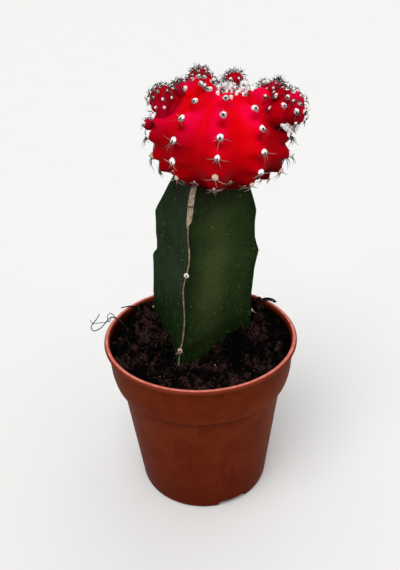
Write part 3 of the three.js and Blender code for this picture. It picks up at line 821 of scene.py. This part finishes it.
def modelRootFibre(form):
    line = curveThrough(form["line"], 5)
    bpy.ops.mesh.primitive_plane_add(size=1)
    piece = added("fibre")
    edit(piece)
    bpy.ops.mesh.merge(type="CENTER")
    bpy.ops.transform.translate(value=line[0])
    for a, b in zip(line, line[1:]):
        extrude(*(b - a))
    pick(piece)
    bpy.ops.object.convert(target="CURVE")
    piece = bpy.context.object
    points = piece.data.splines[0].points
    first, last = ((points[end].co.to_3d() - line[0]).length for end in (0, -1))
    for i, point in enumerate(points):
        share = i / (len(points) - 1)
        point.radius = blend(*form["thick"], share if first < last else 1 - share)
    piece.data.bevel_depth = 1.0
    piece.data.bevel_resolution = 1
    piece.data.use_fill_caps = True
    bpy.ops.object.convert(target="MESH")
    piece = bpy.context.object
    closeUp(piece, 1e-4)
    return piece


rootColours = {"dark": (14, 11, 12), "light": (44, 37, 38)}


def rootFinish():
    finish = Finish("dark root", rootColours, {"Specular IOR Level": 0.3})
    bark = finish.noise(0.8, 3)
    finish.shade(Base_Color=finish.mix(bark.between(0.4, 0.7), "dark", "light"), Roughness=0.6 + bark * 0.2,
                 Normal=finish.relief(finish.noise(0.3), 0.5, 0.05))
    return finish


finished(joined("root_fibres", [modelRootFibre(form) for form in rootFibres]), rootFinish())
print("root fibres made")


# Globe and offsets

globeForm = {
    "centre": (6.9, 5.0, 103.4), "lean": (7.8, 2.0), "side": 17.9, "tip": 14.2,
    "ribs": 10, "firstRib": -95.9, "rows": ((59, 40.5, 20, 1.5, -18, -32), (66.5, 49, 29.5, 9, -10.5, -29)),
    "valley": 1.2, "dip": 1.6, "stand": 0.35, "shave": 2.0, "swell": 1.1, "above": 8.0, "below": 4.5, "wide": 0.5,
    "fringe": -37, "fringeAt": range(-188, 160, 18), "evenAbove": -33, "uneven": (4, 6), "crimson": 0, "kept": 1,
    "segments": 200, "rings": 120,
}

offsetForm = {"rows": ((55, 22, -12), (72, 38, 5)), "valley": 0.45, "dip": 0.42, "stand": 0.1, "shave": 0, "swell": 0,
              "above": 12, "below": 9, "wide": 0.6, "segments": 64, "rings": 40, "ribs": 8, "tall": 1.05, "rise": 0.7}

# A bud's values are its latitude, azimuth and radius, how far its middle stands out, how crimson it is, and the
# share of its areoles that is kept. Those that aren't crimson are low shoulders of the globe itself.
offsets = [
    (35.5, -172, 3.7, 1.0, 1, 1), (49, 167, 2.8, -0.3, 0.5, 1), (65, 152, 3.4, 0.4, 1, 1), (71, 72, 2.9, 0.1, 1, 1),
    (41, -15, 4.5, 2.0, 0.6, 0.7), (9, -180, 1.6, 0.8, 0.3, 0), (38, 106, 3.6, 0.8, 1, 1), (14, 60, 2.4, 0, 1, 1),
    (55, 4, 2.2, 2.9, 1, 0.6), (49, -12, 2.6, 2.6, 1, 0.8), (35, -22, 3.0, 2.9, 0.7, 0.7), (40, -29, 2.9, 0.7, 0.6, 0),
    (61, 12, 1.6, 1.9, 1, 0.6), (64.5, 178, 5.4, -3.0, 0, 0.25), (59, -21, 3.6, -1.4, 0, 0),
]

# Areoles with a place of their own, with their size and tone
ownAreoles = [
    (3.1, 1.8, 118.2, 1.05, 0.46), (2.1, 2.1, 118.3, 0.8, 0.5), (1.6, 4.2, 119.5, 0.9, 0.46),
    (2.9, 4.2, 119.6, 0.85, 0.46), (0.0, 3.9, 119.0, 0.75, 0.46), (-1.9, 3.8, 117.0, 1.0, 0.4),
    (4.9, 4.6, 118.6, 0.8, 0.55), (21.2, -2.6, 113.3, 1, 0.1), (24.3, -3.8, 112.3, 0.85, 0.2),
    (19.6, 0.7, 115.2, 0.9, 0.2), (22.3, -1.6, 115.3, 0.8, 0.3), (23.6, -1.8, 114.5, 0.6, 0.6),
    (25.2, -2.0, 113.7, 0.65, 0.6), (26.3, -2.6, 112.0, 0.6, 0.5), (18.4, 0.3, 112.5, 0.6, 0.4),
    (17.5, -0.7, 115.5, 0.6, 0.6), (21.3, 2.6, 117.0, 0.6, 0.5), (17.2, 6.6, 117.8, 0.8, 0.46),
    (18.7, 6.6, 117.4, 0.7, 0.46), (-12.4, 4.0, 108.8, 0.6, 0.3), (9.5, 8.8, 117.9, 0.8, 0.3),
    (11.8, 9.1, 117.9, 0.6, 0.46),
]

# Tufts of wool under the biggest offset and behind the crown: where, how wide and high, and their tone
looseWool = [
    (22.4, -1.3, 108.4, 0.75, 0.7, 0.4), (21.4, -2.6, 109.0, 0.75, 0.7, 0.4), (23.0, -0.4, 107.8, 0.75, 0.7, 0.4),
    (24.4, 3.7, 106.3, 0.75, 0.7, 0.4), (24.6, 6.4, 105.4, 0.75, 0.7, 0.4), (23.2, -1.1, 108.5, 0.75, 2.2, 0.46),
    (24.0, -0.9, 108.5, 0.7, 2.3, 0.46), (24.7, -0.5, 108.6, 0.65, 1.9, 0.46), (25.6, -0.9, 109.5, 0.5, 1.0, 0.3),
    (22.4, -1.9, 109.1, 0.6, 1.6, 0.46), (12.3, 9.8, 116.4, 0.8, 1.6, 0.3), (13.8, 9.0, 116.1, 0.9, 1.5, 0.4),
    (14.8, 7.7, 115.9, 0.8, 1.3, 0.3), (15.0, 9.2, 115.5, 0.9, 1.6, 0.4), (16.0, 6.5, 115.5, 0.7, 1.0, 0.3),
    (13.3, 7.6, 116.4, 0.7, 1.0, 0.3), (5.6, 4.8, 117.5, 0.55, 1.1, 0.46), (6.2, 4.4, 116.9, 0.5, 1.0, 0.46),
    (6.5, 2.8, 116.7, 0.45, 0.9, 0.46), (5.1, 5.6, 118.1, 0.55, 1.1, 0.46), (7.1, 5.4, 117.0, 0.55, 1.1, 0.46),
    (7.2, 1.6, 116.6, 0.4, 0.8, 0.46),
]

# The skin is cut level inside the stock's top. Each tint of it starts at a range's first value and is full at its
# second: heights Z, distances X to the right, or shares.
skinForm = {
    "voxel": 0.28, "cut": 94.0,
    "colours": {"red": (216, 0, 8), "bright": (242, 0, 20), "pink": (255, 4, 84), "crimson": (148, 0, 20),
                "shade": (86, 0, 5)},
    # The pink patches and halos are a painted sheen; the tints under the areoles, round the offsets' feet, low down, at
    # the right and at the left are painted shade.
    "pink": 0.85, "pinkPatch": 4.6, "pinkFrom": (104, 115), "halo": 0.5, "haloWidth": 2.0, "haloFrom": (98, 112),
    "valleyFrom": (0.26, 0.42), "valleyTop": (117, 114), "underAreole": 0.52, "foot": 0.58, "lowFrom": (109.5, 94.5),
    "right": 0.26, "rightFrom": (13.5, 21.5), "rightTop": (113, 109), "rightDark": (0.5, 107.5),
    "left": 0.56, "leftFrom": (8.5, -5.5), "leftTop": (112.5, 107.5), "leftFoot": (100, 106),
    # the crimson of the offsets is weaker where the skin faces up: painted light
    "youngFrom": (1.35, 1.0), "litFacingUp": (0.35, 0.85), "patchyFrom": (-9, 3),
}


class Bud:  # the globe or an offset, by latitude and azimuth on it
    def __init__(self, form, centre, out, side, tip):
        self.form, self.centre, self.side, self.tip = form, centre, side, tip
        self.turn = frameOn(out, Vector((0, 1, 0)))

    def place(self, latitude, azimuth, proud=0.0):
        phi, theta = math.radians(latitude), math.radians(azimuth)
        flat = (self.side + proud) * math.cos(phi)
        return self.centre + self.turn @ Vector((flat * math.cos(theta), flat * math.sin(theta),
                                                 (self.tip + proud) * math.sin(phi)))

    def out(self, latitude, azimuth):
        phi, theta = math.radians(latitude), math.radians(azimuth)
        flat = math.cos(phi) / self.side
        return (self.turn @ Vector((flat * math.cos(theta), flat * math.sin(theta),
                                    math.sin(phi) / self.tip))).normalized()

    def ribTurn(self, azimuth):  # a whole number on each rib
        return (azimuth - self.form["firstRib"]) * self.form["ribs"] / 360

    def relief(self, latitude, azimuth):  # how far the skin lies off the round form
        form = self.form
        turn = self.ribTurn(azimuth)
        off = abs(turn - round(turn)) * 2
        rows = form["rows"][round(turn) % 2]
        chin = max(bump(latitude - row + 1.5, form["above"] if latitude > row - 1.5 else form["below"])
                   for row in rows)
        lump = chin * bump(off, form["wide"])
        valley = 0.85 * (1 - math.cos(math.pi * off)) / 2 + 0.15 * off ** 4
        fade = math.sqrt(max(math.cos(math.radians(latitude)), 0))
        right = math.cos(math.radians(azimuth))
        shave = form["shave"] * ease((-6 - latitude) / 24) * max(right, 0)  # cut back low at the right
        swell = form["swell"] * bump(latitude - 15, 28) * max(-right, 0) ** 3  # fuller at the left
        return fade * (form["stand"] * lump - form["valley"] * valley - form["dip"] * (1 - lump)) - shave + swell

    def areoles(self):  # latitude and azimuth of each
        form = self.form
        return [(latitude, form["firstRib"] + rib * 360 / form["ribs"])
                for rib in range(form["ribs"]) for latitude in form["rows"][rib % 2]]

    def local(self, point):
        return self.turn.transposed() @ (point - self.centre)

    def depth(self, point):  # below 1 inside
        local = self.local(point)
        return math.hypot(local.x / self.side, local.y / self.side, local.z / self.tip)


def makeBuds():
    lean = [math.sin(math.radians(angle)) for angle in globeForm["lean"]]
    up = Vector((lean[0], lean[1], math.sqrt(1 - lean[0] ** 2 - lean[1] ** 2)))
    globe = Bud(globeForm, Vector(globeForm["centre"]), up, globeForm["side"], globeForm["tip"])
    buds = [globe]
    for latitude, azimuth, radius, stand, crimson, kept in offsets:
        out = (globe.out(latitude, azimuth) + upward * offsetForm["rise"]).normalized()
        share = radius / offsets[0][2]
        form = {**offsetForm, "firstRib": chance.uniform(0, 60), "valley": offsetForm["valley"] * share,
                "dip": offsetForm["dip"] * share, "crimson": crimson, "kept": kept}
        buds.append(Bud(form, globe.place(latitude, azimuth, stand), out, radius, radius * offsetForm["tall"]))
    return buds


def modelBud(bud):
    bpy.ops.mesh.primitive_uv_sphere_add(segments=bud.form["segments"], ring_count=bud.form["rings"], radius=1)
    piece = added("bud")
    for vertex in piece.data.vertices:
        latitude = math.degrees(math.asin(min(max(vertex.co.z, -1), 1)))
        azimuth = math.degrees(math.atan2(vertex.co.y, vertex.co.x))
        proud = bud.relief(latitude, azimuth)
        point = bud.place(latitude, azimuth, proud)
        vertex.co = point + bud.out(latitude, azimuth) * 0.03 * bud.side ** 0.7 * noise.noise(point / 4)
    return piece


def within(value, name):  # from 0 to 1 over one of the skin's ranges
    start, end = skinForm[name]
    return ease((value - start) / (end - start))


# Painted pink sheen, painted shade and how young the skin is, at one spot
def skinTints(spot, normal, mark, buds):  # how pink, how dark and how young the skin is
    x, y, z = spot
    away = spot - mark["spot"]
    above = away.dot(buds[mark["bud"]].turn.col[2])
    beside = math.sqrt(max(away.length_squared - above * above, 0))
    depths = [(bud.form["crimson"], bud.depth(spot)) for bud in buds[1:]]

    # Painted pink sheen in patches and above each areole, less in the valleys between the ribs
    patch = ease(0.42 + 1.9 * noise.noise(Vector((x, y, z * 0.6)) / skinForm["pinkPatch"]))
    halo = bump(beside, skinForm["haloWidth"]) * bump(above - 1.5, 1.7) if mark["latitude"] > -20 else 0
    pink = skinForm["halo"] * halo * within(z, "haloFrom") + skinForm["pink"] * patch * within(z, "pinkFrom")
    local = buds[0].local(spot)
    turn = buds[0].ribTurn(math.degrees(math.atan2(local.y, local.x)))
    valley = within(abs(turn - round(turn)), "valleyFrom") * within(z, "valleyTop")
    # painted shade below each areole of the globe
    under = bump(beside, 1.1) * bump(above + 2.1, 1.4) if mark["bud"] == 0 else 0

    # Darker low down, at both sides, under each areole and round the foot of an offset
    dark, darkAt = skinForm["rightDark"]
    right = (skinForm["right"] + dark * bump(z - darkAt, 3)) * within(x, "rightFrom") * within(z, "rightTop")
    left = skinForm["left"] * within(x, "leftFrom") * within(z, "leftTop") * within(z, "leftFoot")
    low = within(z, "lowFrom") * (0.85 - 0.2 * normal.z)
    foot = max(crimson * bump(inside - 1.12, 0.18) for crimson, inside in depths)
    shade = low + skinForm["underAreole"] * under + right + left + skinForm["foot"] * foot

    young = max(crimson * within(inside, "youngFrom") for crimson, inside in depths)
    # less crimson where the skin faces up, painted light, and less in the sheen patches towards the right
    young *= (1 - 0.3 * within(normal.z, "litFacingUp")) * (1 - 0.6 * patch * within(x, "patchyFrom"))
    return pink * (1 - 0.75 * valley) * (1 - under), min(shade, 1), young


def modelSkin(buds, marks):
    piece = joined("globe_skin", [modelBud(bud) for bud in buds])
    modify(piece, "REMESH", mode="VOXEL", voxel_size=skinForm["voxel"])
    modify(piece, "SMOOTH", factor=0.5, iterations=4)
    edit(piece)
    bpy.ops.mesh.bisect(plane_co=(0, 0, skinForm["cut"]), plane_no=(0, 0, 1), use_fill=True, clear_inner=True)
    closeUp(piece, 1e-4)
    tree = KDTree(len(marks))
    for i, mark in enumerate(marks):
        tree.insert(mark["spot"], i)
    tree.balance()
    tints = [skinTints(vertex.co, vertex.normal, marks[tree.find(vertex.co)[1]], buds)
             for vertex in piece.data.vertices]
    for name, values in zip(("pink", "shade", "young"), zip(*tints)):
        paint(piece, name, values)
    return piece


def markAreoles(buds):  # every areole that is free of the other buds
    marks = []
    for i, bud in enumerate(buds):
        fringe = [] if i else [(globeForm["fringe"], azimuth) for azimuth in globeForm["fringeAt"]]
        for latitude, azimuth in bud.areoles() + fringe:
            if i or latitude < globeForm["evenAbove"]:
                up, aside = globeForm["uneven"]
                latitude, azimuth = latitude + chance.uniform(-up, up), azimuth + chance.uniform(-aside, aside)
            spot = bud.place(latitude, azimuth, bud.relief(latitude, azimuth))
            taken = any((spot - Vector(own[:3])).length < 1.7 for own in ownAreoles)
            hidden = (spot.z < skinForm["cut"] + 0.3
                      or any(other.depth(spot) < 1.02 for other in buds if other is not bud))
            if taken or chance.random() > bud.form["kept"] or hidden:
                continue
            out = bud.out(latitude, azimuth)
            marks.append({"bud": i, "spot": spot, "out": out, "latitude": latitude, "size": 1.0})
    for x, y, z, size, tone in ownAreoles:
        spot = Vector((x, y, z))
        nearest = min(buds[1:], key=lambda bud: bud.depth(spot))
        marks.append({"bud": 0, "spot": spot, "out": (spot - nearest.centre).normalized(), "latitude": 60,
                      "size": size, "tone": tone})
    return marks


def skinFinish():
    finish = Finish("red waxy skin", skinForm["colours"], {
        "Subsurface Weight": 0.08, "Subsurface Radius": (1.0, 0.1, 0.06), "Subsurface Scale": 0.001,
        "Specular IOR Level": 0.012,
    })
    cloud = finish.noise(6, 3, 0.55)
    fine = finish.noise(0.6, 2)
    skin = finish.layered(
        finish.mix(cloud.between(0.32, 0.7), "red", "bright"),
        # painted pink sheen
        pink=finish.painted("pink") * (0.3 + cloud * 0.7),
        crimson=finish.painted("young") * cloud.between(0.1, 0.6),
        shade=finish.painted("shade"))
    finish.shade(Base_Color=skin, Roughness=0.42 + cloud * 0.12 + fine * 0.05,
                 Normal=finish.relief(fine + cloud * 2, 0.2, 0.06))
    return finish


buds = makeBuds()
marks = markAreoles(buds)
skin = modelSkin(buds, marks)
for mark in marks:
    found, spot, normal, face = skin.closest_point_on_mesh(mark["spot"])
    mark["spot"], mark["out"] = spot, (mark["out"] * 0.7 + normal * 0.3).normalized()
print("globe made, with", len(marks), "areoles")


# Wool, spines and hairs

tuftForm = {
    "globe": (0.7, 0.84, 0.5), "offset": (0.54, 0.6, 0.42), "small": (0.34, 0.38, 0.34), "models": 4,
    "hairs": 8, "smallHairs": 6, "crownHairs": 4, "looseHairs": 14, "hairLength": (0.4, 0.85),
    # One of these colours is painted shade for a tuft's lower side.
    "colours": {"white": (255, 253, 252), "tan": (196, 162, 128), "felt": (170, 148, 140), "under": (92, 66, 62),
                "pit": (20, 15, 17), "dark": (24, 19, 17)},
}

spineForms = {
    "high": {"count": 6, "length": (0.8, 2.1), "lean": (22, 66), "tone": (0.0, 0.15), "from": (-215, 35)},
    "middle": {"count": 5, "length": (1.1, 3.0), "lean": (38, 72), "tone": (0.05, 0.6), "from": (-205, 20)},
    "low": {"count": 3, "length": (1.8, 3.4), "lean": (52, 78), "tone": (0.5, 1.0), "from": (-200, 15)},
    "fringe": {"count": 6, "length": (0.9, 2.1), "lean": (45, 84), "tone": (0.5, 1.0), "from": (-200, 15)},
    "offset": {"count": 6, "length": (0.8, 2.1), "lean": (30, 74), "tone": (0.0, 0.2), "from": (-180, 180)},
    "crown": {"count": 3, "length": (0.9, 1.9), "lean": (10, 60), "tone": (0.0, 0.3), "from": (-180, 180)},
    "stock": {"length": (0.9, 1.8), "lean": (40, 80), "tone": (0.9, 1.0), "from": (-180, 180)},
}

strandForm = {
    "long": 1.9, "bends": (0.18, 0.36, 0.55), "thick": (0.085, 0.044), "hairThick": 0.07, "hairBends": (0.2, 0.5),
    "colours": {"dark": (40, 32, 33), "pale": (190, 156, 146), "root": (34, 26, 28), "tip": (70, 44, 40)},
}

crownForm = {"tufts": 66, "lowest": 62, "turn": 137.5, "size": (0.4, 0.62), "high": (0.8, 1.2), "tone": (0.46, 0.5),
             "up": (0.2, -1, 0)}


def modelTufts(subdivisions):
    tufts = []
    for i in range(tuftForm["models"]):
        bpy.ops.mesh.primitive_ico_sphere_add(subdivisions=subdivisions, radius=1)
        tuft = added("tuft")
        for vertex in tuft.data.vertices:
            lump = noise.noise(vertex.co * 1.6 + Vector((0, i * 7, 0))) * 0.28
            vertex.co *= 1 + lump + 0.14 * noise.noise(vertex.co * 4.5 + Vector((i * 3, 0, 0)))
            if vertex.co.z > 0:  # a dent in the middle, where the spines stand
                vertex.co.z *= 1 - 0.6 * bump(math.hypot(vertex.co.x, vertex.co.y + 0.2), 0.4)
        tufts.append(tuft)
    return tufts


def modelRing():
    bpy.ops.mesh.primitive_torus_add(major_radius=0.85, minor_radius=0.45, major_segments=20, minor_segments=10)
    ring = added("ring")
    for vertex in ring.data.vertices:
        vertex.co += vertex.normal * 0.22 * noise.noise(vertex.co * 2.2)
    return ring


def kindOf(mark):
    if mark["bud"]:
        return "offset"
    return next(name for name, lowest in (("high", 34), ("middle", -6), ("low", -31.5), ("fringe", -90))
                if mark["latitude"] > lowest)


def crownMarks(globe):
    found = []
    for i in range(crownForm["tufts"]):
        latitude = blend(crownForm["lowest"], 90, math.sqrt((i + 0.5) / crownForm["tufts"]))
        azimuth = i * crownForm["turn"]
        start = globe.place(latitude, azimuth, -1)
        if any(bud.depth(start) < 1.05 for bud in buds[1:]):
            continue
        hit, spot, normal, face = skin.closest_point_on_mesh(start)
        found.append({"spot": spot, "out": globe.out(latitude, azimuth)})
    return found


def spinePlaces(mark, kind, up, count):
    form = spineForms[kind]
    # Spines that point aside are more, longer and darker
    aside = ease((abs(mark["out"].x) - 0.6) / 0.25) if kind in ("middle", "low", "fringe") else 0
    count += round(2 * aside)
    turn = frameOn(mark["out"], up)
    places = []
    for i in range(count):
        angle = blend(*form["from"], (i + chance.uniform(0.1, 0.9)) / count)
        side = turned(math.radians(angle)) @ turned(math.radians(chance.uniform(*form["lean"])), "Y")
        spot = mark["spot"] + mark["out"] * 0.1 - turn.col[1] * 0.16 + turn @ polar(0.12, math.radians(angle))
        length = chance.uniform(*form["length"]) * (1 + 0.45 * aside)
        bends = len(strandForm["bends"])
        model = chance.randrange(bends) + (bends if length > strandForm["long"] else 0)
        tone = chance.uniform(*form["tone"]) * (1 - 0.85 * aside)
        places.append((model, placed(spot, turn @ side, length), tone))
    return places


def hairPlaces(mark, size, count, up):
    turn = frameOn(mark["out"], up)
    places = []
    for i in range(count):
        angle = (i + chance.random()) * math.tau / count
        way = turned(angle) @ turned(math.radians(chance.uniform(15, 85)), "Y")
        edge = way @ upward
        start = Vector((edge.x * size[0], edge.y * size[1], edge.z * size[2])) * 0.85
        length = chance.uniform(*tuftForm["hairLength"]) * size[0]
        model = chance.randrange(len(strandForm["hairBends"]))
        places.append((model, placed(mark["spot"] + turn @ start, turn @ way, length), 0.2))
    return places


class Coat:  # the places of all that grows on the skin
    def __init__(self):
        self.wool, self.smallWool, self.spines, self.hairs = [], [], [], []

    def grow(self, mark, wool, size, tone, up, kind, hairs, count=None):  # a tone may be a range
        model = chance.randrange(tuftForm["models"])
        shade = chance.uniform(*tone) if isinstance(tone, tuple) else tone
        wool.append((model, placed(mark["spot"], frameOn(mark["out"], up), size), shade))
        self.spines += spinePlaces(mark, kind, up, spineForms[kind]["count"] if count is None else count)
        self.hairs += hairPlaces(mark, size, hairs, up)

    def dressAreoles(self):
        for mark in marks:
            bud, kind = buds[mark["bud"]], kindOf(mark)
            big = kind in ("high", "middle", "low")
            name = "globe" if big else "offset" if kind == "offset" and bud.side > 4 else "small"
            scale = chance.uniform(0.88, 1.12) * mark["size"] * (0.85 if mark["latitude"] < -25 else 1)
            tone = 0.72 if mark["latitude"] < -15 and not mark["bud"] else 0.36 if kind == "low" else 0.15
            tone = mark.get("tone", tone + chance.uniform(-0.1, 0.12))
            count = spineForms[kind]["count"] + (1 if kind == "offset" and name == "small" else 0)
            if kind == "offset" and mark["latitude"] < 30 and mark["out"].y < -0.45:
                count = 2
            self.grow(mark, self.wool if big else self.smallWool, tuple(side * scale for side in tuftForm[name]), tone,
                      bud.turn.col[2], kind, tuftForm["hairs" if big else "smallHairs"], count)

    def dressCrown(self):
        for mark in crownMarks(buds[0]):
            size = (chance.uniform(*crownForm["size"]),) * 2 + (chance.uniform(*crownForm["high"]),)
            self.grow(mark, self.smallWool, size, crownForm["tone"], Vector(crownForm["up"]), "crown",
                      tuftForm["crownHairs"])

    def addLooseWool(self):
        for x, y, z, wide, high, tone in looseWool:
            hit, spot, normal, face = skin.closest_point_on_mesh((x, y, z))
            self.grow({"spot": spot, "out": normal}, self.smallWool, (wide, wide * 1.2, high), tone, upward, "offset",
                      tuftForm["looseHairs"])


def dressStock():  # the places of its wool and spines
    wool, spines = [], []
    for wing in wings:
        out = polar(1, math.radians(wing["azimuth"]))
        side = Vector((-out.y, out.x, 0))
        for height, size, count in wing["areoles"]:
            spot = (stemCentre(height) + out * (along(wing["margin"], height) + 0.35)
                    + side * along(wing["sway"], height))
            turn = frameOn(out, upward)
            wool.append((0, placed(spot, turn, (size, size * 1.1, size)), 0.75 if count else 0.6))
            wool.append((1, placed(spot, turn, (size * 0.55, size * 0.6, size * 0.3)), 2.0))  # a dark pit
            spines += spinePlaces({"spot": spot, "out": out}, "stock", upward, count)
    return wool, spines


def woolFinish():
    # The wool glows a little: painted light that keeps its whites bright, also on the hairs and the stock's areoles.
    finish = Finish("areole wool", tuftForm["colours"], {"Specular IOR Level": 0.1, "Emission Strength": 0.12})
    tone = finish.painted("tone")
    felt = finish.noise(0.22, 3, 0.6)
    wool = finish.layered(
        finish.mix(tone.between(0.35, 0.9), "white", "tan"),
        felt=felt.between(0.55, 0.8) * 0.3,
        # painted shade on each tuft's lower side
        under=finish.painted("side").between(-0.15, -0.75) * 0.75,
        pit=finish.painted("middle").between(0.32, 0.62) * tone.between(0.45, 0.3),
        dark=tone.between(1.5, 1.8))
    # the glow has the wool's own colour
    finish.shade(Base_Color=wool, Emission_Color=wool, Roughness=0.85 + felt * 0.1,
                 Normal=finish.relief(felt, 0.5, 0.12))
    return finish


def spineFinish():
    finish = Finish("grey spine", strandForm["colours"], {"Specular IOR Level": 0.2})
    rise = finish.painted("rise")
    spine = finish.layered(finish.mix(finish.painted("tone"), "dark", "pale"),
                           root=rise.between(0.4, 0.05) * 0.6, tip=rise.between(0.75, 1) * 0.4)
    finish.shade(Base_Color=spine, Roughness=0.5 + finish.noise(0.5) * 0.1)
    return finish


fineTufts, smallTufts = modelTufts(3), modelTufts(2)
rings = [modelRing()] + modelTufts(1)
spines = [modelStrand("spine", {"sides": 4, "thick": thick, "steps": 4, "bend": bend, "tip": 0.15})
          for thick in strandForm["thick"] for bend in strandForm["bends"]]
hairs = [modelStrand("hair", {"sides": 3, "thick": strandForm["hairThick"], "steps": 2, "bend": bend, "tip": 0.3})
         for bend in strandForm["hairBends"]]
coat = Coat()
coat.dressAreoles()
coat.dressCrown()
coat.addLooseWool()
stockWool, stockSpines = dressStock()
woolly, spiny = woolFinish(), spineFinish()
finished(skin, skinFinish(), "scion")
finished(joined("globe_wool", [scatter("wool", fineTufts, coat.wool), scatter("wool", smallTufts, coat.smallWool)]),
         woolly)
finished(scatter("globe_spines", spines, coat.spines), spiny)
finished(scatter("globe_hairs", hairs, coat.hairs), woolly)
finished(stock, stockFinish(), "rootstock")
finished(scatter("stock_areoles", rings, stockWool), woolly)
finished(scatter("stock_spines", spines, stockSpines), spiny)
discard(fineTufts + smallTufts + rings + spines + hairs)
print("wool and spines made")


# Floor and lights

studio = {
    "floor": 16.0, "sky": 0.5, "colours": {"floor": (244, 244, 243), "paleFloor": (248, 248, 247)},
    "lights": [  # from where, strength, and how wide the light is in degrees
        ("main", (-0.25, -0.5, 1.0), 1.5, 42),
        ("fill", (0.9, -0.5, 0.5), 0.2, 60),
        ("back", (0.5, 1.0, 0.9), 0.3, 60),
    ],
}


def setStudio():
    bpy.ops.mesh.primitive_plane_add(size=studio["floor"])
    floor = added("floor")
    finish = Finish("pale floor", studio["colours"], {"Specular IOR Level": 0.2})
    finish.shade(Base_Color=finish.mix(finish.noise(40, 2), "floor", "paleFloor"),
                 Roughness=0.8 + finish.noise(30) * 0.1)
    floor.data.materials.append(finish.material)
    world = bpy.data.worlds.new("studio")
    world.use_nodes = True
    sky = world.node_tree.nodes["Background"]
    sky.inputs["Color"].default_value, sky.inputs["Strength"].default_value = (1, 1, 1, 1), studio["sky"]
    bpy.context.scene.world = world
    for name, place, strength, width in studio["lights"]:
        light = bpy.data.lights.new(name, "SUN")
        light.energy, light.angle = strength, math.radians(width)
        lamp = bpy.data.objects.new(name, light)
        bpy.context.scene.collection.objects.link(lamp)
        lamp.rotation_euler = Vector(place).to_track_quat("Z", "Y").to_euler()
    bpy.context.scene.view_settings.view_transform = "Standard"


setStudio()
print("studio set")
